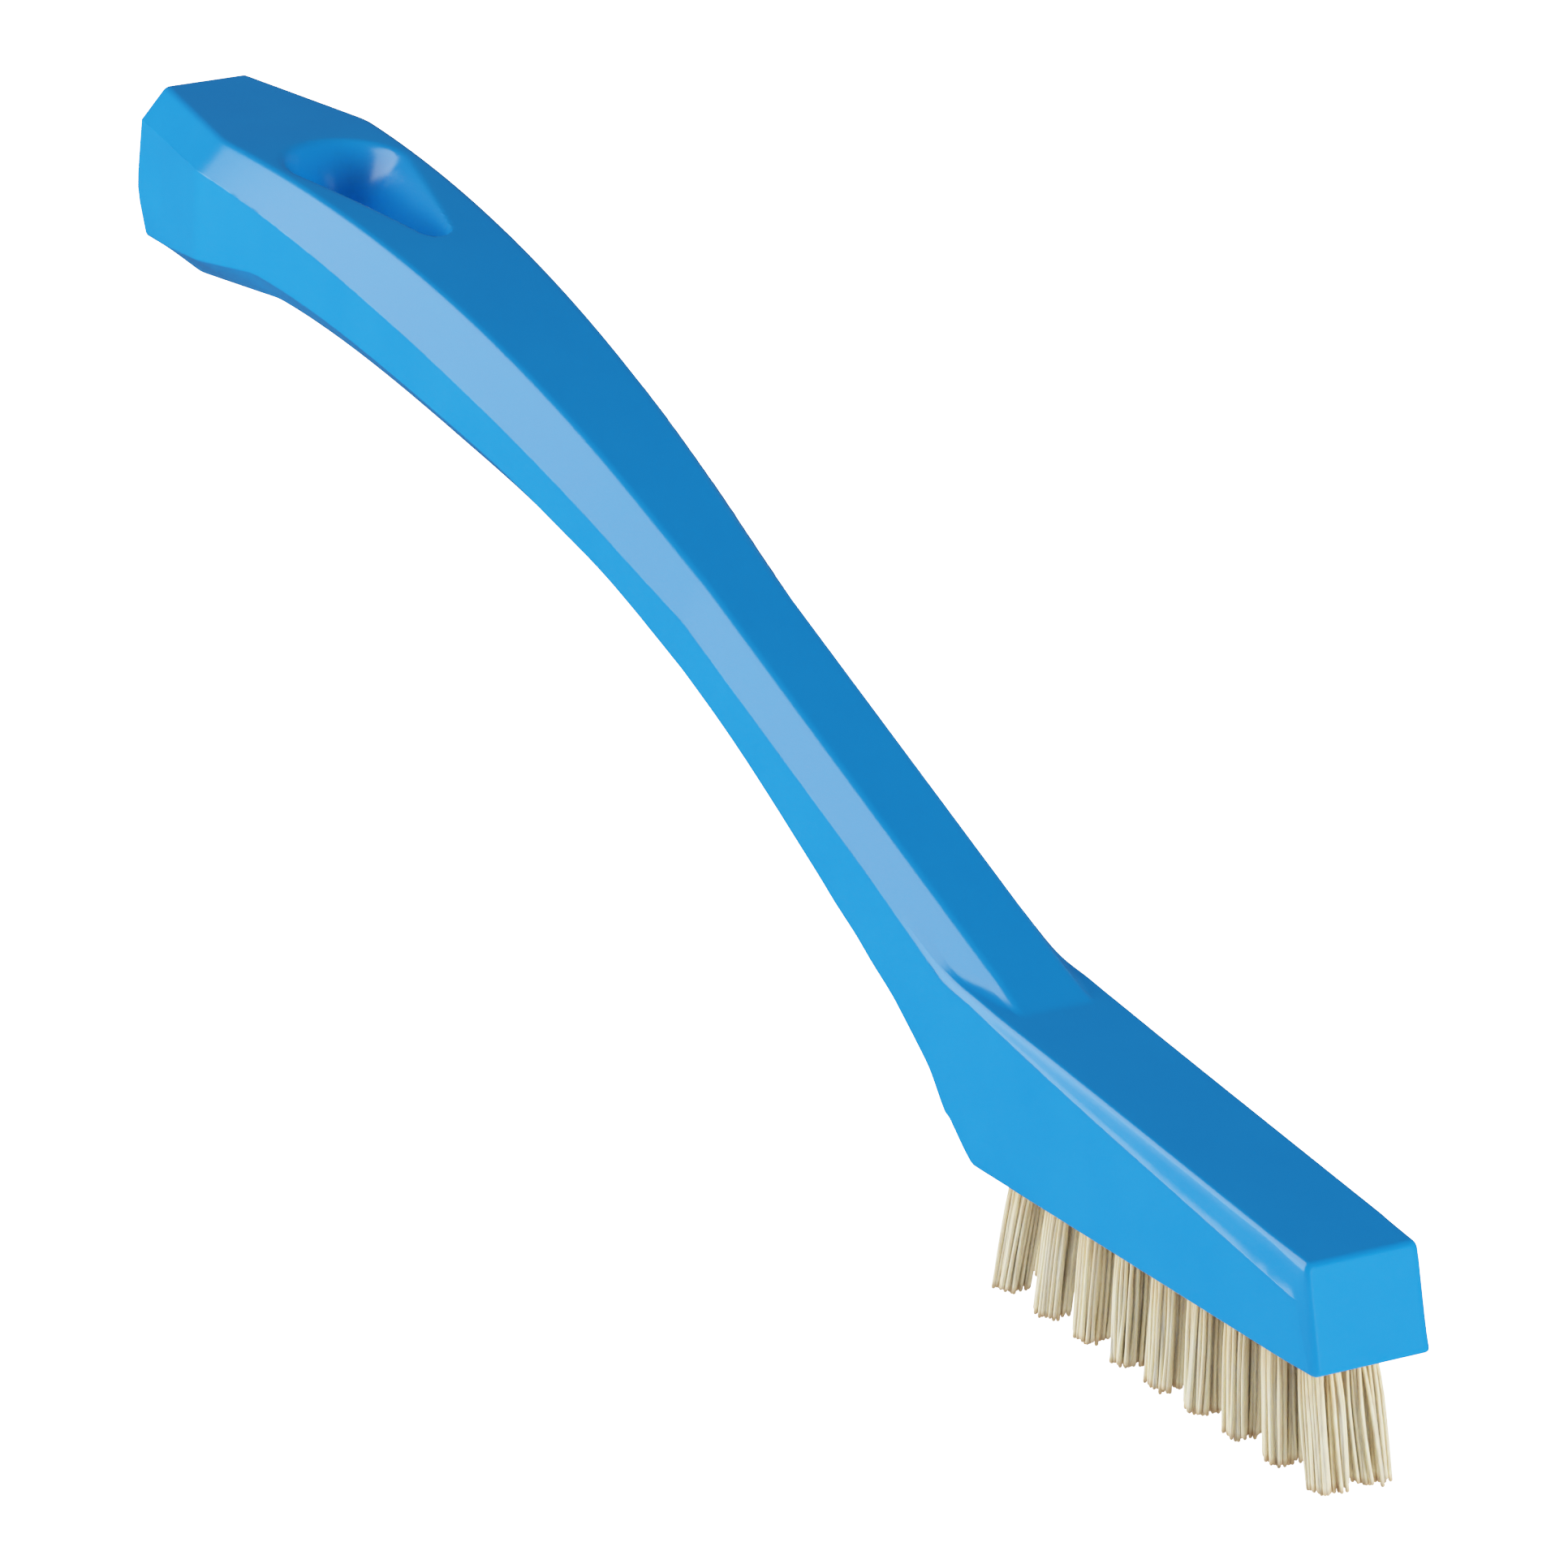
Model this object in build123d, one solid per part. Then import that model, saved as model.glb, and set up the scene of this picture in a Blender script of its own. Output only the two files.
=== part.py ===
from build123d import *
import math
import os

# Crevice brush. X runs along the brush with the nose at +X, Y runs across it and Z is up.
# The origin is in the middle of the brush's length, at the tips of the bristles.
# Heights below are measured from the flat face of the head that the bristles come out of.

# Whole brush
handle_length = 203.5
bristle_length = 12.3
overrun = 2.0

# Brush head, with places measured back from the lower edge of the nose
head_half_width = 6.2
nose_height = 9.5
nose_setback = 2.5
junction_from_nose = 49.5
junction_height = 14.92
saddle_radius = 100.0
saddle_length = 13.0
heel_from_nose = 51.9
junction_bevel_inset = 0.2
nose_bevel_inset = 0.55
saddle_bevel_drop = 0.6
junction_bevel_drop = 1.05
nose_bevel_drop = 3.5
nose_corner_bevel_top = 2.6
nose_corner_bevel_bottom = 0.6
head_edge_radius = 0.6

# Top line of the handle, from the junction with the head to the tail
shank_slope_angle = 22.8
shank_line_length = 65.5
grip_top_radius = 190.0
shank_flat_half_width = 3.5
crease_flat_half_width = 7.9
flare_start_from_nose = 103.5
chamfer = 2.7
chamfer_swell = 1.0
shank_lap = 3.0

# Underside: an arc up from the heel, a short straight waist, and an arc under the grip
heel_toe_from_nose = 57.1
heel_angle = 38.9
underside_radius = 185.0
waist_straight = 8.1

# Tail, with places measured forward from its end
crease_from_tail = 18.0
lower_crease_from_tail = 28.5
knob_from_tail = 9.5
tail_flat_half_width = 4.3
tail_half_width = 6.9
tail_bottom_half_width = 5.0
knob_half_width = 5.3
tail_top_height = 57.45
tail_chamfer_height = 54.4
tail_edge_height = 42.9
tail_bottom_height = 42.4
knob_height = 41.2
tail_peak_height = 47.3
tail_top_lean = 0.5
tail_undercut = 2.7

# Hang hole: a teardrop with its round end towards the tail and a flared mouth on both faces
hole_round_from_tail = 28.0
hole_point_from_tail = 44.4
mouth_round_radius = 6.0
mouth_point_radius = 1.7
throat_round_radius = 3.3
throat_point_radius = 0.8
mouth_flare_depth = 3.2
mouth_sink = 0.2
hole_tilt_angle = 6.2
flare_depth_shares = (-0.3, 0.0, 0.3, 0.6, 1.0)
flare_straight_share = 0.4

# Tufts and the flat anchors across their roots
tufts_in_row = 9
row_spacing = 3.9
first_tuft_from_nose = 5.5
tuft_pitch = 5.5
tuft_hole_diameter = 2.6
tuft_hole_depth = 6.5
tuft_clearance = 0.02
strands_in_tuft = 24
strand_width = 0.25
strand_root_length = 0.2
tip_spread_share = 1.32
lean_angle = 1.6
fan_angle = 4.0
end_fan_angle = 7.0
side_lean_angle = 1.2
tip_trim = 0.5
tip_rounding = 0.9
tip_unevenness = 0.35
anchor_width = 3.2
anchor_height = 1.8
anchor_thickness = 0.3
anchor_fold = 0.8
anchor_clearance = 0.02

# Places that follow from the sizes above
nose_x = handle_length / 2
tail_x = nose_x - handle_length
junction_x = nose_x - junction_from_nose
arc_start_x = junction_x - shank_line_length
flare_start_x = nose_x - flare_start_from_nose
heel_x = nose_x - heel_from_nose
heel_toe_x = nose_x - heel_toe_from_nose
saddle_x = junction_x - saddle_length
saddle_middle_x = junction_x - saddle_length / 2
nose_top_x = nose_x - nose_setback
bevel_half_width = head_half_width - junction_bevel_inset
nose_half_width = head_half_width - nose_bevel_inset
crease_x = tail_x + crease_from_tail
lower_crease_x = tail_x + lower_crease_from_tail
knob_x = tail_x + knob_from_tail
shank_slope = math.tan(math.radians(shank_slope_angle))
shank_sine = math.sin(math.radians(shank_slope_angle))
heel_arc_run = underside_radius * (math.sin(math.radians(heel_angle)) - shank_sine)
waist_x = heel_toe_x - heel_arc_run
head_slope = (junction_height - nose_height) / (nose_top_x - junction_x)
head_sine = math.sin(math.atan(head_slope))
anchor_middle_height = tuft_hole_depth - anchor_fold - anchor_height / 2
steepest_lean = lean_angle + fan_angle + end_fan_angle
steepest_drift = strand_root_length * math.tan(math.radians(steepest_lean))


def blend(start, end, share):
    return start + (end - start) * share


def arc_cosine(run, radius, start_angle):
    """Cosine of the slope after a run along an arc that starts at an angle and flattens."""
    sine = math.sin(math.radians(start_angle)) - run / radius
    return math.sqrt(1 - sine ** 2)


def arc_rise(run, radius, start_angle):
    """Height gained by that run."""
    return radius * (arc_cosine(run, radius, start_angle) - math.cos(math.radians(start_angle)))


def top_height(x):
    """Height of the handle's top line: straight along the shank, then one long arc."""
    if x >= arc_start_x:
        return junction_height + shank_slope * (junction_x - x)
    return top_height(arc_start_x) + arc_rise(arc_start_x - x, grip_top_radius, shank_slope_angle)


def top_cosine(x):
    run = max(arc_start_x - x, 0)
    return arc_cosine(run, grip_top_radius, shank_slope_angle)


def underside_height(x):
    """Height of the flat under the handle: heel arc, straight waist, grip arc."""
    run = heel_toe_x - x
    if run <= heel_arc_run:
        return arc_rise(run, underside_radius, heel_angle)
    waist_run = min(run - heel_arc_run, waist_straight)
    grip_run = run - heel_arc_run - waist_run
    rise = arc_rise(heel_arc_run, underside_radius, heel_angle)
    return rise + shank_slope * waist_run + arc_rise(grip_run, underside_radius, shank_slope_angle)


def underside_cosine(x):
    run = heel_toe_x - x
    if run <= heel_arc_run:
        return arc_cosine(run, underside_radius, heel_angle)
    grip_run = max(run - heel_arc_run - waist_straight, 0)
    return arc_cosine(grip_run, underside_radius, shank_slope_angle)


def flat_half_width(x):
    """Half width of the top and bottom flats, which widen from the waist to the crease."""
    share = max(flare_start_x - x, 0) / (flare_start_x - crease_x)
    return blend(shank_flat_half_width, crease_flat_half_width, share)


def chamfer_leg(x):
    """Leg of the chamfers, which swells in the middle of the grip."""
    share = max(flare_start_x - x, 0) / (flare_start_x - crease_x)
    return chamfer + chamfer_swell * math.sin(math.pi * share)


def head_top_height(x):
    """Height of the head's top face and of the saddle that it curves up into beside the shank."""
    if x >= junction_x:
        return junction_height - head_slope * (x - junction_x)
    sine = head_sine + (junction_x - x) / saddle_radius
    rise = saddle_radius * (math.sqrt(1 - head_sine ** 2) - math.sqrt(1 - sine ** 2))
    return junction_height + rise


def octagon(x, corners):
    """An eight-sided face across the handle, from its four corners on one side, top to bottom."""
    near = [Vector(x, -y, z) for y, z in corners]
    far = [Vector(x, y, z) for y, z in reversed(corners)]
    return make_face(Polyline(*near, *far, close=True))


def grip_corners(x):
    flat = flat_half_width(x)
    leg = chamfer_leg(x)
    top = top_height(x)
    bottom = underside_height(x)
    return [
        (flat, top),
        (flat + leg, top - leg / top_cosine(x)),
        (flat + leg, bottom + leg / underside_cosine(x)),
        (flat, bottom),
    ]


def tail_end_corners():
    return [
        (tail_flat_half_width, tail_top_height),
        (tail_half_width, tail_chamfer_height),
        (tail_half_width, tail_edge_height),
        (tail_bottom_half_width, tail_bottom_height),
    ]


def blend_corners(start, end, share):
    return [
        (blend(start_y, end_y, share), blend(start_z, end_z, share))
        for (start_y, start_z), (end_y, end_z) in zip(start, end)
    ]


def make_grip():
    """Smooth eight-sided grip from the shank to the lower crease of the tail."""
    steps = 9
    stations = [blend(flare_start_x, lower_crease_x, step / steps) for step in range(steps + 1)]
    return loft([octagon(x, grip_corners(x)) for x in stations])


def make_tail():
    """Faceted tail behind the lower crease, with a knob under it that stops the hand."""
    lower_crease = grip_corners(lower_crease_x)
    end = tail_end_corners()
    knob_share = (lower_crease_x - knob_x) / (lower_crease_x - tail_x)
    knob_bottom = (knob_half_width, knob_height)
    crease_share = (lower_crease_x - crease_x) / (lower_crease_x - knob_x)
    crease_top = grip_corners(crease_x)[:2]
    lower_edge_share = (lower_crease_x - crease_x) / (lower_crease_x - tail_x)
    crease_edge = (crease_top[1][0], blend(lower_crease[2][1], end[2][1], lower_edge_share))
    crease_bottom = blend_corners([lower_crease[3]], [knob_bottom], crease_share)[0]
    crease = [*crease_top, crease_edge, crease_bottom]
    knob_top_share = (crease_x - knob_x) / (crease_x - tail_x)
    knob = blend_corners(crease, end, knob_top_share)[:2]
    knob_edge = (knob[1][0], blend(lower_crease[2][1], end[2][1], knob_share))
    knob = [*knob, knob_edge, knob_bottom]
    sections = [
        octagon(lower_crease_x, lower_crease),
        octagon(crease_x, crease),
        octagon(knob_x, knob),
        octagon(tail_x, end),
    ]
    return loft(sections, ruled=True) - make_tail_end_cut()


def make_tail_end_cut():
    """The end of the tail leans in above its widest line and is cut back below it."""
    upper_run = tail_top_height - tail_peak_height
    lower_run = tail_peak_height - tail_bottom_height
    reach = (lower_run + overrun) / lower_run
    lean = (upper_run + overrun) / upper_run
    outline = Polyline(
        Vector(tail_x + tail_top_lean * lean, 0, tail_top_height + overrun),
        Vector(tail_x, 0, tail_peak_height),
        Vector(tail_x + tail_undercut * reach, 0, tail_bottom_height - overrun),
        Vector(tail_x - overrun, 0, tail_bottom_height - overrun),
        Vector(tail_x - overrun, 0, tail_top_height + overrun),
        close=True,
    )
    return extrude(make_face(outline), amount=tail_half_width + overrun, dir=(0, 1, 0), both=True)


def make_shank():
    """Straight front of the handle, which runs down into the head and ends at the heel."""
    inner_x = junction_x + shank_lap
    heel_toe = Vector(heel_toe_x, 0, 0)
    arc_end_x = max(waist_x, flare_start_x)
    arc_end = Vector(arc_end_x, 0, underside_height(arc_end_x))
    end_bottom = Vector(flare_start_x, 0, underside_height(flare_start_x))
    end_top = Vector(flare_start_x, 0, top_height(flare_start_x))
    inner_top = Vector(inner_x, 0, top_height(inner_x))
    inner_bottom = Vector(inner_x, 0, 0)
    middle_x = (heel_toe_x + arc_end_x) / 2
    heel_middle = Vector(middle_x, 0, underside_height(middle_x))
    heel_arc = ThreePointArc(arc_end, heel_middle, heel_toe)
    rest = [heel_toe, inner_bottom, inner_top, end_top, end_bottom]
    if arc_end_x > flare_start_x:
        rest.append(arc_end)
    profile = make_face(heel_arc + Polyline(*rest))
    shank = extrude(profile, amount=head_half_width, dir=(0, 1, 0), both=True)
    side_edges = [edge for edge in shank.edges() if abs(edge.center().Y) > head_half_width / 2]
    stretches = ((end_top, inner_top), (arc_end, heel_toe), (end_bottom, arc_end))
    edges = [edge for edge in side_edges for start, end in stretches if is_along(edge, start, end)]
    return shank.chamfer(chamfer, None, edges)


def is_along(edge, start, end):
    """Whether an edge starts and ends beside these two places."""
    ends = sorted((edge @ 0, edge @ 1), key=lambda place: place.X)
    tolerance = tuft_clearance
    starts_there = abs(ends[0].X - start.X) < tolerance and abs(ends[0].Z - start.Z) < tolerance
    ends_there = abs(ends[1].X - end.X) < tolerance and abs(ends[1].Z - end.Z) < tolerance
    return starts_there and ends_there


def make_bevel_cutter(inner, outer, corner):
    """A wedge between matching rows of places, that planes an edge off between two lines."""
    sections = []
    for first, second, third in zip(inner, outer, corner):
        slope = second - first
        reach = overrun / slope.length
        start = first - slope * reach
        end = second + slope * reach
        sections.append(make_face(Polyline(start, end, third, close=True)))
    return loft(sections, ruled=True)


def make_head():
    """The brush head, with a saddle behind the junction and bevels along its top and nose."""
    junction = Vector(junction_x, 0, junction_height)
    saddle_middle = Vector(saddle_middle_x, 0, head_top_height(saddle_middle_x))
    saddle = Vector(saddle_x, 0, head_top_height(saddle_x))
    heel = Vector(heel_x, 0, 0)
    nose = Vector(nose_x, 0, 0)
    nose_top = Vector(nose_top_x, 0, nose_height)
    saddle_arc = ThreePointArc(junction, saddle_middle, saddle)
    profile = make_face(saddle_arc + Polyline(saddle, heel, nose, nose_top, junction))
    head = extrude(profile, amount=head_half_width, dir=(0, 1, 0), both=True)
    cutter_end_x = nose_x + overrun
    middle_bevel_drop = (saddle_bevel_drop + junction_bevel_drop) / 2
    places = [
        (saddle_x, bevel_half_width, saddle_bevel_drop),
        (saddle_middle_x, bevel_half_width, middle_bevel_drop),
        (junction_x, bevel_half_width, junction_bevel_drop),
        (nose_top_x, nose_half_width, nose_bevel_drop),
        (cutter_end_x, nose_half_width, nose_bevel_drop),
    ]
    corner_y = head_half_width + overrun * 2
    for side in (-1, 1):
        inner = [Vector(x, side * half_width, head_top_height(x)) for x, half_width, drop in places]
        outer = [Vector(x, side * head_half_width, head_top_height(x) - drop) for x, half_width, drop in places]
        corner = [Vector(x, side * corner_y, head_top_height(x) + overrun * 2) for x, half_width, drop in places]
        head -= make_bevel_cutter(inner, outer, corner)
        inner = []
        outer = []
        corner = []
        for height in (-overrun, nose_height + overrun):
            share = height / nose_height
            edge_x = nose_x - nose_setback * share
            bevel = blend(nose_corner_bevel_bottom, nose_corner_bevel_top, share)
            inner.append(Vector(edge_x, side * nose_half_width, height))
            outer.append(Vector(edge_x - bevel, side * head_half_width, height))
            corner.append(Vector(edge_x + overrun * 2, side * corner_y, height))
        head -= make_bevel_cutter(inner, outer, corner)
    crosswise = [saddle_x, junction_x]
    top_edges = [
        edge
        for edge in head.edges()
        if is_on_head_top(edge @ 0) and is_on_head_top(edge @ 1) and not lies_across(edge, crosswise)
    ]
    return head.fillet(head_edge_radius, top_edges)


def is_on_head_top(place):
    return abs(place.Z - head_top_height(place.X)) < tuft_clearance


def lies_across(edge, places):
    """Whether an edge crosses the brush at one of these places along it."""
    return any(abs((edge @ 0).X - x) + abs((edge @ 1).X - x) < tuft_clearance for x in places)


def teardrop(plane, round_radius, point_radius, length):
    """A teardrop face: a large round and a small one, joined by lines that touch both."""
    sine = (round_radius - point_radius) / length
    cosine = math.sqrt(1 - sine ** 2)
    round_far = (round_radius * sine, round_radius * cosine)
    round_near = (round_radius * sine, -round_radius * cosine)
    point_far = (length + point_radius * sine, point_radius * cosine)
    point_near = (length + point_radius * sine, -point_radius * cosine)
    lines = Line(round_far, point_far)
    lines += ThreePointArc(point_far, (length + point_radius, 0), point_near)
    lines += Line(point_near, round_near)
    lines += ThreePointArc(round_near, (-round_radius, 0), round_far)
    return plane * make_face(lines)


def make_mouth_flare(mouth_plane, length):
    """The flare under one mouth of the hang hole, steep at the throat and open at the face."""
    sections = []
    for depth_share in flare_depth_shares:
        height_share = 1 - depth_share
        open_share = height_share * blend(height_share, 1, flare_straight_share)
        plane = mouth_plane.offset(-depth_share * mouth_flare_depth)
        round_radius = blend(throat_round_radius, mouth_round_radius, open_share)
        point_radius = blend(throat_point_radius, mouth_point_radius, open_share)
        sections.append(teardrop(plane, round_radius, point_radius, length))
    return loft(sections)


def make_hang_hole():
    """Cutter for the hang hole: the throat and a flare at each face, on one tilted axis."""
    length = hole_point_from_tail - hole_round_from_tail
    middle_x = tail_x + (hole_round_from_tail + hole_point_from_tail) / 2
    tilt = math.radians(hole_tilt_angle)
    along = Vector(math.cos(tilt), 0, -math.sin(tilt))
    axis = Vector(math.sin(tilt), 0, math.cos(tilt))
    top_middle = Vector(middle_x, 0, top_height(middle_x) - mouth_sink)
    bottom_drop = (top_height(middle_x) - underside_height(middle_x) - mouth_sink) * math.cos(tilt)
    bottom_middle = top_middle - axis * (bottom_drop - mouth_sink)
    top_plane = Plane(origin=top_middle - along * (length / 2), x_dir=along, z_dir=axis)
    bottom_plane = Plane(origin=bottom_middle - along * (length / 2), x_dir=along, z_dir=-axis)
    throat_face = teardrop(top_plane.offset(overrun), throat_round_radius, throat_point_radius, length)
    throat = extrude(throat_face, amount=bottom_drop + overrun * 2, dir=-axis)
    return [throat, make_mouth_flare(top_plane, length), make_mouth_flare(bottom_plane, length)]


def tuft_places():
    """Root and lean of each tuft in the left row, from the heel to the nose."""
    places = []
    middle = (tufts_in_row - 1) / 2
    for number in range(tufts_in_row):
        x = nose_x - first_tuft_from_nose - tuft_pitch * (tufts_in_row - 1 - number)
        share = (number - middle) / middle
        lean = lean_angle + fan_angle * share + end_fan_angle * share ** 3
        places.append((Vector(x, row_spacing / 2, 0), lean))
    return places


def make_strand(index, spread_radius, lean):
    """One bristle: a square rod from inside the root to its own tip."""
    share = math.sqrt((index + 1) / strands_in_tuft)
    turn = index * math.pi * (3 - math.sqrt(5))
    root = Vector(math.cos(turn), math.sin(turn)) * (spread_radius * share)
    uneven_share = (index * (math.sqrt(5) - 1) / 2) % 1
    reach = bristle_length + tip_trim - tip_rounding * share ** 2 - tip_unevenness * uneven_share
    fan = root * (tip_spread_share - 1)
    drift_x = bristle_length * math.tan(math.radians(lean)) + fan.X
    drift_y = bristle_length * math.tan(math.radians(side_lean_angle)) + fan.Y
    slope = Vector(drift_x / bristle_length, drift_y / bristle_length, -1)
    start = Vector(root.X, root.Y, 0) - slope * strand_root_length
    face = Location(start) * Rectangle(strand_width, strand_width)
    return extrude(face, amount=slope.length * (reach + strand_root_length), dir=slope.normalized())


def make_tuft(lean):
    """A bundle of bristles with its folded root, slotted where the anchor holds it."""
    root_radius = tuft_hole_diameter / 2 - tuft_clearance
    root_length = tuft_hole_depth - tuft_clearance
    spread_radius = root_radius - strand_width * math.sqrt(0.5) - steepest_drift
    bottom_up = (Align.CENTER, Align.CENTER, Align.MIN)
    root = Cylinder(root_radius, root_length, align=bottom_up)
    strands = [make_strand(index, spread_radius, lean) for index in range(strands_in_tuft)]
    tuft = root.fuse(*strands)
    tip_box = Box(bristle_length * 2, bristle_length * 2, tip_trim + overrun, align=bottom_up)
    tips_below = Location((0, 0, -bristle_length - tip_trim - overrun)) * tip_box
    return tuft - tips_below - make_anchor_slot()


def make_anchor_slot():
    slot = Box(
        anchor_width + anchor_clearance * 2,
        anchor_thickness + anchor_clearance * 2,
        anchor_height + anchor_clearance * 2,
    )
    return Location((0, 0, anchor_middle_height)) * slot


def make_anchor():
    anchor = Box(anchor_width, anchor_thickness, anchor_height)
    return Location((0, 0, anchor_middle_height)) * anchor


def make_handle():
    """The whole moulding, with its hang hole, tuft holes and anchor slots."""
    body = make_shank().fuse(make_head(), make_grip(), make_tail())
    for cutter in make_hang_hole():
        body = body.cut(cutter)
    holes = []
    bottom_up = (Align.CENTER, Align.CENTER, Align.MIN)
    tuft_hole = Cylinder(tuft_hole_diameter / 2, tuft_hole_depth + overrun, align=bottom_up)
    for root, lean in tuft_places():
        hole = Location(root - Vector(0, 0, overrun)) * tuft_hole
        slot = Location(root) * make_anchor_slot()
        holes += [hole, slot, mirror(hole, about=Plane.XZ), mirror(slot, about=Plane.XZ)]
    return body.cut(*holes)


def export_node(name, solids):
    """Move a node's solids from the head's face to the brush's own origin and write its file."""
    placed = [Location((0, 0, bristle_length)) * solid for solid in solids]
    node = placed[0] if len(placed) == 1 else Compound(children=placed)
    node.label = name
    export_step(node, f"parts/{name}.step")


def main():
    os.makedirs("parts", exist_ok=True)
    export_node("handle", [make_handle()])
    anchors = []
    for number, (root, lean) in enumerate(tuft_places(), 1):
        tuft = Location(root) * make_tuft(lean)
        anchor = Location(root) * make_anchor()
        export_node(f"tuft_left_{number}", [tuft])
        export_node(f"tuft_right_{number}", [mirror(tuft, about=Plane.XZ)])
        anchors += [anchor, mirror(anchor, about=Plane.XZ)]
    export_node("anchor_staples", anchors)


main()
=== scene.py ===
"""Crevice brush: a moulded blue handle with a hang hole, and a narrow head with two rows of tufts.

Shapes are worked out in millimetres, with X along the brush and heights from the flat face of the
head that the bristles come out of. They are turned into metres and lifted onto the tips of the
bristles when their meshes are made.
"""

import math
import random

import bpy
import numpy as np
from mathutils import Euler, Matrix, Vector


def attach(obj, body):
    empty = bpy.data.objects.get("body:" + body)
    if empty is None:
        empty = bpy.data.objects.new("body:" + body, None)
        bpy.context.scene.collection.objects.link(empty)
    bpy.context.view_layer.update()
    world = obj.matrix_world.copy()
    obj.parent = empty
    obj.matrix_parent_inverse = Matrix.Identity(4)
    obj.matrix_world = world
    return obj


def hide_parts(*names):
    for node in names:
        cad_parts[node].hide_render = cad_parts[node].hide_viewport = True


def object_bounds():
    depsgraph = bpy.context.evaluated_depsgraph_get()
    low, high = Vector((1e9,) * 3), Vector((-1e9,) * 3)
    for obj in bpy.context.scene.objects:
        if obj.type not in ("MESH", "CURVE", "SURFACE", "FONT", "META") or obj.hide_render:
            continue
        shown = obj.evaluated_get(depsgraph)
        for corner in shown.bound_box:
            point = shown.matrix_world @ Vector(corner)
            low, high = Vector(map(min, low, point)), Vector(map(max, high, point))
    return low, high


bl_info = {
    "name": "Crevice brush",
    "version": (1, 0, 0),
    "blender": (4, 5, 0),
    "location": "3D View > Sidebar > Brush",
    "description": "Builds the handle, tufts and studio of a crevice brush around its CAD frame",
    "category": "Object",
}

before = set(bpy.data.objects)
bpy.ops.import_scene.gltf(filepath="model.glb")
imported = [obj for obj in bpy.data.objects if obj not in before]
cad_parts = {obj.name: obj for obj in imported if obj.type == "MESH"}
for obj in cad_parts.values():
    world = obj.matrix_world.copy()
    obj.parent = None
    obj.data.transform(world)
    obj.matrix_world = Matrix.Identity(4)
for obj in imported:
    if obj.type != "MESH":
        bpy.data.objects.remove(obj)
cad_box = [list(corner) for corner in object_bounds()]

MM = 0.001
BODY = "root"
BRISTLE_LENGTH = 12.3
NOSE_X = cad_box[1][0] / MM
TAIL_X = cad_box[0][0] / MM

# Head
HEAD_HALF_WIDTH = 6.2
NOSE_HEIGHT = 9.5
NOSE_SETBACK = 2.5
NOSE_HALF_WIDTH = 5.8
NOSE_BEVEL_TOP = 2.6
NOSE_BEVEL_BOTTOM = 0.6
JUNCTION_X = NOSE_X - 49.5
JUNCTION_HEIGHT = 14.92
HEAD_SLOPE = (JUNCTION_HEIGHT - NOSE_HEIGHT) / (NOSE_X - NOSE_SETBACK - JUNCTION_X)
SADDLE_RADIUS = 100.0
SADDLE_RUN = 16.0
VALLEY_REACH = 0.9
LEAST_VALLEY = 0.01

# Handle
SHANK_ANGLE = math.radians(22.8)
SHANK_SLOPE = math.tan(SHANK_ANGLE)
ARC_START_X = JUNCTION_X - 65.5
FLARE_START_X = NOSE_X - 103.5
GRIP_TOP_RADIUS = 190.0
SHANK_FLAT = 3.5
CREASE_FLAT = 7.9
CHAMFER = 2.7
CHAMFER_SWELL = 1.0
STEEPEST_RISE = 1.24
RISE_RUN = (-80.0, -20.0)
NARROWING = 0.42
SIDE_START_X = 30.0
SIDE_END_X = 50.0
SHANK_GRAZE = 1.345
UNDERSIDE_PLACES = (-75.0, -42.0, -25.0, -12.0, 4.0, 18.0, 24.0, 30.0, 36.0, 41.0, 44.6)
UNDERSIDE_LIFTS = (0.0, -0.85, -0.5, -0.05, -0.1, -0.3, -0.2, 0.25, 0.9, 1.0, 0.0)
HEEL_X = NOSE_X - 57.1
HEEL_ANGLE = math.radians(38.9)
UNDERSIDE_RADIUS = 185.0
WAIST_STRAIGHT = 8.1

# Tail
CREASE_X = TAIL_X + 18.0
LOWER_CREASE_X = TAIL_X + 28.5
KNOB_X = TAIL_X + 9.5
KNOB = (5.3, 41.2)
TAIL_TOP = (4.3, 57.45)
TAIL_CHAMFER = (6.9, 54.4)
TAIL_EDGE_HEIGHT = 42.9
KNOB_EDGE_HEIGHT = 44.2
TAIL_BOTTOM = (5.0, 42.4)
TAIL_PEAK_HEIGHT = 47.3
TAIL_LEAN = 0.5
TAIL_UNDERCUT = 2.7

# Hang hole: a teardrop throat with a flared mouth on both faces
HOLE_MIDDLE_X = TAIL_X + 36.2
HOLE_LENGTH = 16.4
HOLE_TILT = math.radians(6.2)
THROAT_RADII = (3.3, 0.8)
MOUTH_GROWTH = (2.7, 0.9)
THROAT_CUT = (-26.0, 6.0)
THROAT_STEPS = 40

# Flare of the hang hole: its depth, and how far the skin is looked at and pressed in for it
FLARE_DEPTH = 5.2
FLARE_STRAIGHT_SHARE = 0.4
RIM_SOFTNESS = 0.22
THROAT_STEEPNESS = 8.0
DEEPEST_PRESS = 5.7
MOUTH_SHARE_RANGE = (-0.8, 6.0)
MOUTH_HALVINGS = 40
ROUND_END_REACH = 9.0
POINT_END_REACH = 6.0

# Tufts
TUFTS_IN_ROW = 9
TUFT_PITCH = 5.5
ROW_OFFSET = 1.95
NOSE_TUFT_SPREAD = 0.1
NOSE_TUFT_REACH = 6.0
FIRST_SEED = 11

# Lean in degrees of the middle tuft, its even growth along the row and its growth at the row's ends
MIDDLE_LEAN = 1.6
EVEN_LEAN = 4.0
END_LEAN = 7.0
OUTWARD_SLOPE = math.tan(math.radians(1.2))

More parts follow.
